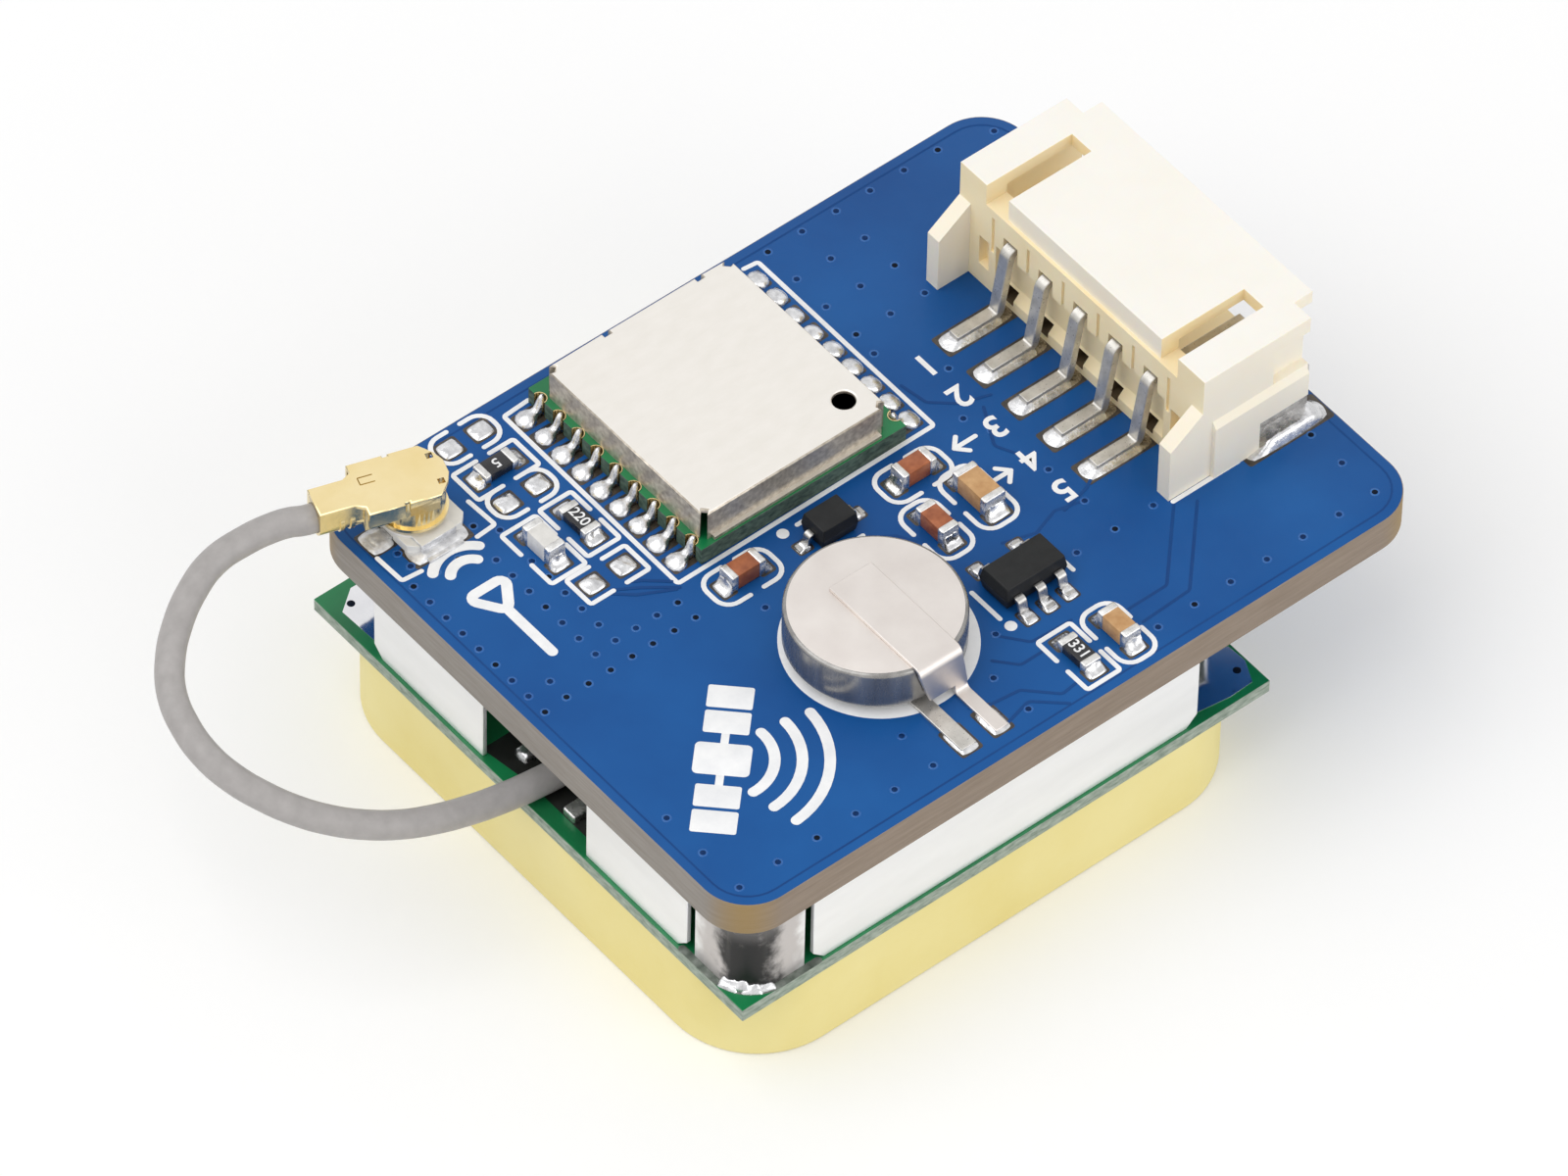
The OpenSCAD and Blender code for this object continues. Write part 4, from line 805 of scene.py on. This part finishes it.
def makeSigns():
    paths = [signs["mast"], signs["dish"]]
    paths += [[(signs["wavesFrom"] + px, py) for px, py in arc(r, -half, half)] for r, half in signs["waves"]]
    strokes = [turned(path, *signs["aerial"]) for path in paths]
    strokes += [turned(arc(r, -90 - half, half - 90), *signs["satellite"]) for r, half in signs["signal"]]
    drawLines("signStrokes", strokes, signs["stroke"], legend["thickness"], signs["corner"], whiteInk,
              closed=(1,))
    ink = newShape()
    addInk(ink, turned(roundRect(*signs["body"], steps=4), *signs["satellite"]))
    for side in (-1, 1):
        for k in range(2):
            shift = side * (signs["panelFrom"] + signs["panelStep"] * k)
            panel = [(px + shift, py) for px, py in roundRect(*signs["panel"], steps=2)]
            addInk(ink, turned(panel, *signs["satellite"]))
        # the strut lies lower than what it joins, so that they share no face
        strut = [(px + side * signs["strutFrom"], py) for px, py in roundRect(*signs["strut"], steps=2)]
        addPlate(ink, turned(strut, *signs["satellite"]), boardTop,
                 boardTop + legend["thickness"] * signs["strutThick"], signs["strutEdge"])
    shapePiece("signFields", ink, [whiteInk])


makeSigns()
print("legend printed")


# solder: a skin over a pad that climbs the lead standing on it
jointForm = {"across": 16, "along": 12, "pinch": 0.22, "steep": 2.2, "ripple": 0.16, "smooth": 70}
stainForm = {"margin": 0.07, "corner": 0.12, "thick": 0.008, "edge": 0.003}
stains = newShape()


def addJoint(shape, place, pad, lead, climb, seed, skin, reach=0.16):
    # pad and lead are (x from, x to, y from, y to) in the joint's own axes
    rough = random.Random(seed)
    nx, ny = jointForm["across"], jointForm["along"]
    x0, x1, y0, y1 = pad
    wave = [(rough.uniform(2, 6), rough.uniform(2, 6), rough.uniform(0, 6.28)) for k in range(3)]
    rows = []
    for j in range(ny + 1):
        for i in range(nx + 1):
            u, v = 2 * i / nx - 1, 2 * j / ny - 1
            px = (x0 + x1) / 2 + (x1 - x0) / 2 * u * math.sqrt(1 - jointForm["pinch"] * v * v)
            py = (y0 + y1) / 2 + (y1 - y0) / 2 * v * math.sqrt(1 - jointForm["pinch"] * u * u)
            inner = 1 - max(abs(u), abs(v)) ** 3
            height = skin * math.sqrt(max(inner, 0))
            if lead is not None:
                away = math.hypot(max(lead[0] - px, 0, px - lead[1]), max(lead[2] - py, 0, py - lead[3]))
                height += climb * math.exp(-away / reach) * min(1, inner * jointForm["steep"])
            ripple = sum(math.sin(a * px * 3 + b * py * 3 + c) for a, b, c in wave) / 3
            height *= 1 + jointForm["ripple"] * ripple
            rows.append(tuple(place @ Vector((px, py, height if inner > 0 else 0.0))))
    faces = [(j * (nx + 1) + i, j * (nx + 1) + i + 1, (j + 1) * (nx + 1) + i + 1, (j + 1) * (nx + 1) + i)
             for j in range(ny) for i in range(nx)]
    rim = (list(range(nx + 1)) + [j * (nx + 1) + nx for j in range(1, ny + 1)]
           + [ny * (nx + 1) + i for i in range(nx - 1, -1, -1)]
           + [j * (nx + 1) for j in range(ny - 1, 0, -1)])
    faces.append(tuple(rim[::-1]))
    addFaces(shape, rows, faces)


def onBoard(x, y, turn=0):
    return Matrix.Translation((x, y, boardTop)) @ Matrix.Rotation(math.radians(turn), 4, "Z")


def addStain(place, pad, margin):
    x0, x1, y0, y1 = pad
    rim = [(px + (x0 + x1) / 2, py + (y0 + y1) / 2) for px, py in
           roundRect(x1 - x0 + 2 * margin, y1 - y0 + 2 * margin, stainForm["corner"], steps=4)]
    addPlate(stains, rim, 0.0, stainForm["thick"], stainForm["edge"], place=place)


def solderPad(shape, place, pad, lead, climb, seed, skin, reach, margin=stainForm["margin"]):
    # a joint on its pad, with the flux stain round it
    addJoint(shape, place, pad, lead, climb, seed, skin, reach)
    addStain(place, pad, margin)


def jointPiece(name, shape, stands=(), finishes=(solderSkin,)):
    shapePiece(name, shape, finishes, stands, jointForm["smooth"])


# chip parts: a fired body between tinned ends; each is (node, place, turn, size, finish, slot, digits)
chipParts = {
    "end": 0.32, "round": 0.07, "overlap": 0.1, "slim": 0.05, "bodyRound": 0.05, "bodyEdge": 0.04,
    "bodyLow": 0.02, "bodyHigh": 0.025, "padIn": 0.18, "padOut": 0.38, "padSide": 0.02,
    "climb": 0.42, "climbShare": 0.6, "digits": 0.62, "ink": 0.008, "inkWeight": 0.008, "inkSunk": 0.027,
    "parts": [
        ("capacitor_1", (-5.85, 0.05), 0, (1.6, 0.8, 0.8), brownChip, "brown_ceramic", None),
        ("capacitor_2", (2.15, -0.05), 0, (1.6, 0.8, 0.8), brownChip, "brown_ceramic", None),
        ("capacitor_3", (1.15, -2.6), 90, (1.6, 0.8, 0.8), brownChip, "brown_ceramic", None),
        ("capacitor_4", (3.35, -2.35), 90, (1.9, 1.0, 0.9), tanChip, "tan_ceramic", None),
        ("capacitor_5", (3.15, -10.55), 90, (1.6, 0.8, 0.8), tanChip, "tan_ceramic", None),
        ("resistor_1", (-9.65, 9.7), 0, (1.6, 0.8, 0.45), blackGlaze, "chip_black", "5"),
        ("resistor_2", (-8.9, 5.75), 90, (1.6, 0.8, 0.45), blackGlaze, "chip_black", "220"),
        ("resistor_3", (1.3, -10.5), 90, (1.6, 0.8, 0.45), blackGlaze, "chip_black", "331"),
        ("choke", (-10.7, 5.6), 90, (1.6, 0.8, 0.9), paleChip, "pale_ceramic", None)],
}


def makeChips():
    solder = newShape()
    cap, r = chipParts["end"], chipParts["round"]
    for n, (name, spot, turn, (l, w, h), body, slot, digits) in enumerate(chipParts["parts"]):
        place = onBoard(spot[0], spot[1], turn)
        shape = newShape()
        core = roundRect(l - 2 * cap + chipParts["overlap"], w - chipParts["slim"], chipParts["bodyRound"],
                         steps=2)
        addPlate(shape, core, chipParts["bodyLow"], h - chipParts["bodyHigh"], chipParts["bodyEdge"],
                 place=place)
        climb, half = min(chipParts["climb"], h * chipParts["climbShare"]), w / 2 + chipParts["padSide"]
        for side in (-1, 1):
            tip = [(px + side * (l - cap) / 2, py) for px, py in roundRect(cap, w, r, steps=3)]
            addPlate(shape, tip, 0.0, h, r, finish=1, place=place, steps=3)
            pad = (l / 2 - chipParts["padIn"], l / 2 + chipParts["padOut"], -half, half)
            lead = (0, l / 2, -w / 2, w / 2)
            if side < 0:
                pad, lead = ((-b, -a, c, d) for a, b, c, d in (pad, lead))
            solderPad(solder, place, pad, lead, climb, seed=10 * n + side, skin=0.05, reach=0.14)
        if digits:
            addNumber(shape, digits, spot[0], spot[1], boardTop + h - chipParts["inkSunk"],
                      chipParts["digits"], turn + 180, chipParts["ink"], chipParts["inkWeight"], finish=2)
        makePiece("fitted_" + name, toMesh(name, shape), [body, chipEnd, whiteInk], [name])
    jointPiece("chipJoints", solder, ["chip_solder"])


makeChips()


# tinned pads with nothing fitted, each with a low peak
barePads = {"x": (-8.9, -10.35), "y": (11.55, 8.2, 3.2), "size": (0.9, 0.8),
            "peak": (-0.05, 0.05, -0.03, 0.03)}
shape = newShape()
l, w = barePads["size"]
for i, x in enumerate(barePads["x"]):
    for j, y in enumerate(barePads["y"]):
        solderPad(shape, onBoard(x, y), (-l / 2, l / 2, -w / 2, w / 2), barePads["peak"],
                  climb=0.05, seed=40 + i * 3 + j, skin=0.1, reach=0.3)
jointPiece("barePads", shape, ["pad_solder"])


# receiver: edge joints that climb from a pad into each half-round contact
receiver = {
    "at": (-1.8, 6.5), "length": 9.7, "pads": 9, "pitch": 1.1, "spread": 0.06,
    "stain": (0.02, 1.0, -0.4, 0.4), "lining": (0.3, 0.27), "liningHeight": 0.81,
    # a bead along its pad: (distance from the board's edge, half width, height)
    "bead": [(1.04, 0.05, 0.03), (0.98, 0.28, 0.1), (0.84, 0.41, 0.23), (0.62, 0.45, 0.31), (0.44, 0.4, 0.32),
             (0.3, 0.27, 0.33), (0.19, 0.2, 0.45), (0.08, 0.2, 0.72), (-0.04, 0.23, 0.92), (-0.13, 0.2, 0.95),
             (-0.2, 0.12, 0.9), (-0.23, 0.03, 0.82)],
}


def makeReceiverJoints():
    shape = newShape()
    rings = []
    for x, w, h in receiver["bead"]:
        rings.append([(x, w * math.cos(math.pi * k / 12), h * math.sin(math.pi * k / 12)) for k in range(13)]
                     + [(x, -w * 0.9, -0.005), (x, w * 0.9, -0.005)])
    addLoft(shape, rings)
    places = []
    for side, turn in ((1, 0), (-1, 180)):
        for i in range(receiver["pads"]):
            x = receiver["at"][0] + side * receiver["length"] / 2
            y = receiver["at"][1] + (i - (receiver["pads"] - 1) / 2) * receiver["pitch"]
            places.append((x, y, boardTop, turn))
            addStain(onBoard(x, y, turn), receiver["stain"], margin=0.06)
    repeatShape("receiverJoints", toMesh("receiverJoint", shape), places, solderSkin,
                receiver["spread"], seed=3, stands=["receiver_solder"], smoothAngle=80)
    # gold lining of the half-round contacts
    ring = newShape()
    outer, inner = receiver["lining"]
    high = receiver["liningHeight"]
    for k in range(8):
        a, b = (math.radians(90 + 180 * j / 8) for j in (k, k + 1))
        points = []
        for r, z in ((outer, 0.0), (outer, high), (inner, high), (inner, 0.0)):
            points += [(r * math.cos(a), r * math.sin(a), z), (r * math.cos(b), r * math.sin(b), z)]
        addFaces(ring, points, [(0, 2, 3, 1), (2, 4, 5, 3), (4, 6, 7, 5), (6, 0, 1, 7)])
    repeatShape("edgeContacts", toMesh("edgeContact", ring), places, goldFlash)


makeReceiverJoints()


# receiver's can: its middle and half size, the reach of its open corners, and its upper edge
receiverCan = {"at": (-2.0, 6.35), "half": (4.35, 4.625), "corner": 0.45, "edge": 2.17, "round": 0.07}


def canEdges(middle, length):
    return 1.0 if middle.z > boardTop + receiverCan["edge"] else 0.0


def canCorner(point):
    # the short facets beside each open corner become one point, so that the edges round evenly
    away = [abs(abs(point[i] - receiverCan["at"][i]) - receiverCan["half"][i]) for i in (0, 1)]
    return max(away) < receiverCan["corner"]


def upperFinish(centre, normal):
    return 0 if normal.z > 0.5 else 1


def levelFinish(centre, normal):
    return 0 if abs(normal.z) > 0.5 else 1


# the can's upward faces take its top finish, its walls the darker copy of painted shade
softCopy("receiverCan", ["receiver_shield"], receiverCan["round"], [canSkin, canWallPaintedShade],
         canEdges, steps=3, sort=upperFinish, clamp=False, merge=canCorner)
softCopy("receiverBoard", ["receiver_board"], 0.015, [greenMask, darkEdge], steps=1,
         sort=levelFinish)


# wire connector: where its housing is recessed and gets painted shade, at the rear wall, the two latch slots
# and the mouth
housing = {
    "rear": 8.65, "middle": 0.1, "legs": 1.5, "long": 1.2,
    "behind": -0.2, "wall": 0.6, "inside": 6.28, "roof": 4.9, "top": 5.3,
    "slotFrom": 4.2, "slotTo": 5.6, "slotEnd": 4.2, "slotDeep": 0.6, "mouth": 6.1, "sill": 0.4, "lintel": 0.1,
    "pins": (-4, -2, 0, 2, 4), "pitBeside": 0.3, "pitFrom": 0.05, "pitTo": 0.8, "pitLow": 0.28,
    "pitHigh": 0.9,
}


def housingEdges(middle, length):
    return 1.0 if length > housing["long"] else 0.5


def housingFinish(centre, normal):
    # 0 top, 1 side with painted shade, 2 recess with warmer painted shade, 3 mould hole
    x = centre.x - housing["rear"] - housing["legs"]
    y, z = abs(centre.y - housing["middle"]), centre.z - boardTop
    rear = housing["behind"] < x < housing["wall"] and y < housing["inside"] and z < housing["roof"]
    slot = housing["slotFrom"] < y < housing["slotTo"] and x < housing["slotEnd"]
    slot = slot and housing["roof"] - housing["slotDeep"] < z < housing["top"]
    mouth = x > housing["wall"] and y < housing["mouth"]
    mouth = mouth and housing["sill"] < z < housing["roof"] + housing["lintel"]
    beside = min(abs(centre.y - housing["middle"] - pin) for pin in housing["pins"])
    pit = housing["pitFrom"] < x < housing["pitTo"] and housing["pitLow"] < z < housing["pitHigh"]
    square = max(abs(normal.x), abs(normal.y), abs(normal.z)) > 0.95
    if pit and square and beside < housing["pitBeside"]:
        return 3
    if rear or mouth or slot:
        return 2
    return 0 if normal.z > 0.5 and z > housing["top"] else 1


softCopy("connectorHousing", ["connector_housing"], 0.09, [ivoryNylon, ivorySidePaintedShade, ivoryRecessPaintedShade, nylonPit],
         housingEdges, steps=3, sort=housingFinish)
for n in range(1, 6):
    softCopy("connectorPin%d" % n, ["connector_pin_%d" % n], 0.035, [pinTin])
softCopy("connectorTabs", ["connector_tabs"], 0.03, [tinStrip])

# joints of the pins, each with a fluxed heel, and of the two tabs
connectorJoints = {
    "pitch": 2.0, "middle": 0.1, "pad": (6.95, 10.2, -0.5, 0.5), "foot": (7.5, 9.4, -0.25, 0.25),
    "heel": 9.35, "tabs": 6.9, "tabPad": (12.15, 16.12, -0.62, 0.62), "tabFoot": (13.2, 15.5, -0.45, 0.3),
}
shape = newShape()
for n in range(5):
    y = connectorJoints["middle"] + (n - 2) * connectorJoints["pitch"]
    first = len(shape["faces"])
    solderPad(shape, onBoard(0, y), connectorJoints["pad"], connectorJoints["foot"], climb=0.12,
              seed=60 + n, skin=0.07, reach=0.18)
    for f in range(first, len(shape["faces"]) - 1):
        if shape["points"][shape["faces"][f][0]][0] > connectorJoints["heel"]:
            shape["finish"][f] = 1
for side in (-1, 1):
    y = connectorJoints["middle"] + side * connectorJoints["tabs"]
    solderPad(shape, onBoard(0, y), connectorJoints["tabPad"], connectorJoints["tabFoot"], climb=0.42,
              seed=70 + side, skin=0.07, reach=0.24)
jointPiece("connectorJoints", shape, ["connector_solder"], (solderSkin, fluxedSolder))


# backup cell: satin top, grey drawn side
backupCell = {"at": (-4.15, -5.45), "radius": 3.4, "low": 0.15, "high": 2.25, "lid": 0.004}


def makeCell():
    r, low, high = backupCell["radius"], boardTop + backupCell["low"], boardTop + backupCell["high"]
    lid = high + backupCell["lid"]
    shape = newShape()
    addLathe(shape, [(0.02, low), (r - 0.75, low), (r - 0.6, low + 0.05), (r - 0.55, low + 0.16),
                     (r - 0.3, low + 0.18), (r - 0.1, low + 0.28), (r, low + 0.46), (r, low + 1.0),
                     (r, high - 0.16), (r - 0.02, high - 0.09), (r - 0.07, high - 0.03), (r - 0.15, high)],
             backupCell["at"], steps=96, finish=1)
    shape["finish"][-1] = 0
    addLathe(shape, [(r - 0.15, high - 0.02), (r - 0.15, high), (r - 0.17, lid), (0.02, lid)],
             backupCell["at"], steps=96)
    shapePiece("backupCell", shape, [cellTop, cellSide], ["backup_cell"])


makeCell()
softCopy("cellUpperTab", ["cell_upper_tab"], 0.03, [cellTop])
softCopy("cellLowerTab", ["cell_lower_tab"], 0.03, [pinTin])
cellJoints = {"x": ((-5.04, -4.16), (-3.54, -2.66)), "y": (-11.56, -10.2), "tip": -11.4, "inset": 0.1}
shape = newShape()
for n, (x0, x1) in enumerate(cellJoints["x"]):
    y0, y1 = cellJoints["y"]
    tab = (x0 + cellJoints["inset"], x1 - cellJoints["inset"], cellJoints["tip"], y1)
    solderPad(shape, onBoard(0, 0), (x0, x1, y0, y1), tab, climb=0.06, seed=81 + n, skin=0.05,
              reach=0.1, margin=0.06)
jointPiece("cellJoints", shape, ["cell_solder"])


# coax socket: pads are (pad, foot)
coaxSocket = {
    "at": (-13.55, 9.75), "flange": 0.56, "feet": 1.2,
    "pads": [((-14.85, -12.25, 7.75, 8.85), (-14.35, -12.75, 7.85, 8.9)),
             ((-14.85, -12.25, 10.65, 11.75), (-14.35, -12.75, 10.6, 11.65)),
             ((-15.75, -14.7, 9.15, 10.35), (-15.35, -14.6, 9.45, 10.05))],
}


def socketFinish(centre, normal):
    # gold ring, tinned feet, and a flange that the white base's moulding covers
    if centre.z > boardTop + coaxSocket["flange"]:
        return 0
    return 1 if abs(centre.y - coaxSocket["at"][1]) > coaxSocket["feet"] else 2


softCopy("socketBase", ["socket_base"], 0.04, [whitePolymer])
softCopy("socketShell", ["socket_shell"], 0.02, [goldFlash, frostedSolder, whitePolymer],
         steps=1, sort=socketFinish)

# coax plug, with a small lance pressed into its cover, its outline drawn as lines of painted shade, in the
# plug's own axes
coaxPlug = {"round": 0.055, "edge": 2.47, "hole": 0.26, "turn": 162, "height": 2.5, "from": 1.36, "to": 1.92,
            "side": -0.19, "width": 0.34, "line": 0.045, "thick": 0.006, "corner": 0.02}


def plugEdges(middle, length):
    # the two square holes stay sharp, as the rim beside them is too thin to round
    if abs(length - coaxPlug["hole"]) < 0.01:
        return 0.0
    return 1.0 if middle.z > boardTop + coaxPlug["edge"] else 0.0


softCopy("plugShell", ["plug_shell"], coaxPlug["round"], [goldFlash], plugEdges, steps=3,
         clamp=False)
u0, u1, v0, v1 = coaxPlug["from"], coaxPlug["to"], coaxPlug["side"], coaxPlug["side"] - coaxPlug["width"]
lance = turned([(u0, v0), (u1, v0), (u1, v1), (u0, v1)], *coaxSocket["at"], coaxPlug["turn"])
drawLines("plugLance", [lance], coaxPlug["line"], coaxPlug["thick"], coaxPlug["corner"], goldLancePaintedShade,
          boardTop + coaxPlug["height"])
shape = newShape()
for n, (pad, foot) in enumerate(coaxSocket["pads"]):
    solderPad(shape, onBoard(0, 0), pad, foot, climb=0.12, seed=90 + n, skin=0.06, reach=0.15, margin=0.05)
jointPiece("socketJoints", shape, ["socket_solder"], (frostedSolder,))


# diode and regulator; leads are (x, y, turn)
softCopy("diodeBody", ["diode_body"], 0.04, [blackEpoxy])
softCopy("diodeLeads", ["diode_leads"], 0.02, [tinStrip])
softCopy("regulatorBody", ["regulator_body"], 0.05, [blackEpoxy])
softCopy("regulatorLeads", ["regulator_leads"], 0.025, [tinStrip])
packages = {
    "diode": [(-3.2, -0.2, 180), (-0.7, -0.2, 0)],
    "diodePad": (-0.28, 0.32, -0.28, 0.28), "diodeFoot": (-0.3, 0.05, -0.17, 0.17),
    "regulator": [(1.05, -7.85, -90), (2, -7.85, -90), (2.95, -7.85, -90), (1.05, -5.15, 90),
                  (2.95, -5.15, 90)],
    "regulatorPad": (-0.3, 0.42, -0.3, 0.3), "regulatorFoot": (-0.3, 0.1, -0.2, 0.2),
}
shape = newShape()
for kind, seed, skin, reach in (("diode", 100, 0.05, 0.12), ("regulator", 110, 0.06, 0.14)):
    for n, (x, y, turn) in enumerate(packages[kind]):
        solderPad(shape, onBoard(x, y, turn), packages[kind + "Pad"], packages[kind + "Foot"], climb=0.12,
                  seed=seed + n, skin=skin, reach=reach, margin=0.05)
jointPiece("packageJoints", shape)
shapePiece("fluxStains", stains, [fluxStain])
print("parts on the board done")


# antenna: ceramic, board and shield
patchCeramic = {"round": 0.35, "low": 0.02, "high": 3.9, "upperShare": 0.35}


def ceramicEdges(middle, length):
    if middle.z < patchCeramic["low"]:
        return 1.0
    return patchCeramic["upperShare"] if middle.z > patchCeramic["high"] else 0.0


softCopy("patchCeramic", ["antenna_ceramic"], patchCeramic["round"], [firedCeramic],
         ceramicEdges, steps=4)
softCopy("antennaBoard", ["antenna_board"], 0.02, [greenMask, paleEdge], steps=1,
         sort=levelFinish)
softCopy("antennaShield", ["antenna_shield"], 0.03, [shieldSkin])
dress(silverFilm, "antenna_electrode")
dress(tinStrip, "antenna_feed_pin", "coax_braid", "coax_core")
dress(foamTape, "mounting_tape")
dress(blackEpoxy, "antenna_amplifier", "receiver_chip")
dress(paleChip, "antenna_filter", "receiver_clock", "receiver_filter")
dress(brownChip, "antenna_chips")
dress(solderSkin, "antenna_feed_solder", "coax_solder")
dress(frostedSolder, "socket_contact")
dress(goldFlash, "plug_contact")
dress(whitePolymer, "plug_insulator", "coax_dielectric")

# solder and flux along the foot of the shield's two corner tabs; lumps are (angle, climb)
shieldFoot = {
    "middle": -3.5, "centre": (-14.13, -10.63), "radius": 1.6, "reach": 1.75, "out": 0.13,
    "film": 0.32, "thick": 0.006, "corner": 0.05,
    "lumps": ((203, 0.26), (218, 0.34), (233, 0.2), (250, 0.14)),
    "lump": (-0.2, 0.28, -0.42, 0.42), "lumpStep": 0.06, "tab": (-0.2, 0.03, -0.25, 0.25),
}


def makeShieldFoot():
    beads, films = newShape(), []
    cx, cy = shieldFoot["centre"]
    r, reach, middle = shieldFoot["radius"], shieldFoot["reach"], shieldFoot["middle"]
    rim = r + shieldFoot["out"]
    edge = [(cx + rim * math.cos(math.radians(a)), cy + rim * math.sin(math.radians(a)))
            for a in range(180, 271, 10)]
    path = [(cx - rim, cy + reach)] + edge + [(cx + reach, cy - rim)]
    x0, x1, y0, y1 = shieldFoot["lump"]
    for flip in (1, -1):
        films.append([(middle + flip * (x - middle), flip * y) for x, y in path])
        for n, (angle, climb) in enumerate(shieldFoot["lumps"]):
            a = math.radians(angle)
            x, y = middle + flip * (cx + r * math.cos(a) - middle), flip * (cy + r * math.sin(a))
            turn = angle if flip > 0 else angle + 180
            place = Matrix.Translation((x, y, antennaTop)) @ Matrix.Rotation(math.radians(turn), 4, "Z")
            pad = (x0, x1 - shieldFoot["lumpStep"] * (n % 2), y0, y1)
            addJoint(beads, place, pad, shieldFoot["tab"], climb, seed=130 + n, skin=0.08, reach=0.13)
    jointPiece("shieldJoints", beads, ["shield_solder"])
    drawLines("shieldFilm", films, shieldFoot["film"], shieldFoot["thick"], shieldFoot["corner"], dustFilm,
              antennaTop)


makeShieldFoot()

# inside the shield's slot: a floor film of painted shade, a solder blob and a tinned block
slotFloor = {
    "paintedShade": [(-15.3, -3.6), (-11.6, -3.6), (-11.6, 3.0), (-15.65, 3.0), (-15.3, 0.6)], "thick": 0.008,
    "edge": 0.003, "blob": (-14.41, 1.79), "blobPad": (-0.5, 0.5, -0.4, 0.4), "blobRise": 0.32,
    "block": (-14.82, -1.58), "blockSize": (0.95, 0.7), "blockRise": 0.4, "blockRound": 0.1,
    "blockEdge": 0.08,
}
shape = newShape()
addPlate(shape, slotFloor["paintedShade"], antennaTop, antennaTop + slotFloor["thick"], slotFloor["edge"])
shapePiece("slotSoot", shape, [slotShadePaint])
shape = newShape()
addJoint(shape, Matrix.Translation((*slotFloor["blob"], antennaTop)), slotFloor["blobPad"], None,
         climb=0.0, seed=140, skin=slotFloor["blobRise"])
jointPiece("slotBlob", shape)
shape = newShape()
outline = roundRect(*slotFloor["blockSize"], slotFloor["blockRound"], steps=4)
addPlate(shape, outline, 0, slotFloor["blockRise"], slotFloor["blockEdge"],
         place=Matrix.Translation((*slotFloor["block"], antennaTop)), steps=3)
shapePiece("slotBlock", shape, [chipEnd])

# tinned corner pads of the antenna board, each with a plated hole
cornerPads = {
    "left": [(-15.58, 11.33), (-15.5, 9.3), (-13.4, 9.3), (-13.0, 12.05), (-14.63, 12.05)],
    "right": [(8.9, -11.2), (8.85, -10.3), (6.4, -9.5), (5.9, -12.0), (7.35, -12.2), (8.45, -12.15)],
    "edge": 0.01, "holes": [(-15.08, 11.45), (8.35, -11.38)], "hole": 0.16, "thick": 0.03, "holeRise": 0.004,
    "holeEdge": 0.002,
}
shape, pits = newShape(), newShape()
padTop = antennaTop + cornerPads["thick"]
for side in ("left", "right"):
    addPlate(shape, cornerPads[side], antennaTop, padTop, cornerPads["edge"])
# each plated hole is a thin near-black disc of painted shade on its pad
for x, y in cornerPads["holes"]:
    addPlate(pits, circle(x, y, cornerPads["hole"], steps=20), antennaTop, padTop + cornerPads["holeRise"],
             cornerPads["holeEdge"])
shapePiece("cornerPads", shape, [mirrorTin])
shapePiece("cornerHoles", pits, [holePaintedShade])
print("antenna done")


# stage, in metres: a pale floor, a white surround and two soft boxes as (name, place, size, power)
stage = {
    "reach": 3.0, "drop": 0.00002, "lift": 0.1, "fill": 0.66, "aim": (0, 0, 0.005),
    "lamps": [("overhead", (-0.45, 0.15, 0.75), 0.9, 3.4), ("front", (0.25, -0.85, 0.35), 0.7, 2.2)],
}


def makeFloor():
    mesh = bpy.data.meshes.new("floor")
    corners = [(x * stage["reach"], y * stage["reach"], 0) for x, y in ((-1, -1), (1, -1), (1, 1), (-1, 1))]
    mesh.from_pydata(corners, [], [(0, 1, 2, 3)])
    floor = bpy.data.objects.new("floor", mesh)
    floor.location.z = -stage["drop"]
    bpy.context.scene.collection.objects.link(floor)
    finish = bpy.data.materials.new("paleFloor")
    finish.use_nodes = True
    tree = finish.node_tree
    shader = tree.nodes["Principled BSDF"]
    for socket, value in (("Base Color", linear("#F4F4F4")), ("Roughness", 0.9), ("Specular IOR Level", 0.0),
                          ("Emission Color", (1, 1, 1, 1))):
        shader.inputs[socket].default_value = value
    seen = addNode(tree, "ShaderNodeLightPath").outputs["Is Camera Ray"]
    tree.links.new(calc(tree, "MULTIPLY", seen, stage["lift"]), shader.inputs["Emission Strength"])
    mesh.materials.append(finish)


def makeSurround():
    world = bpy.data.worlds.new("whiteRoom")
    world.use_nodes = True
    bpy.context.scene.world = world
    tree = world.node_tree
    back = tree.nodes["Background"]
    back.inputs["Color"].default_value = (1, 1, 1, 1)
    path = addNode(tree, "ShaderNodeLightPath").outputs
    seen = calc(tree, "MAXIMUM", path["Is Camera Ray"], path["Is Glossy Ray"])
    seen = calc(tree, "MAXIMUM", seen, path["Is Transmission Ray"])
    tree.links.new(ramp(tree, seen, 0.0, 1.0, stage["fill"]), back.inputs["Strength"])


def makeLamps():
    for name, place, size, power in stage["lamps"]:
        light = bpy.data.lights.new(name, "AREA")
        light.shape = "SQUARE"
        light.size = size
        light.energy = power
        lamp = bpy.data.objects.new(name, light)
        lamp.location = place
        lamp.rotation_euler = (Vector(stage["aim"]) - Vector(place)).to_track_quat("-Z", "Y").to_euler()
        bpy.context.scene.collection.objects.link(lamp)


makeFloor()
makeSurround()
makeLamps()
bpy.context.scene.view_settings.view_transform = "Standard"
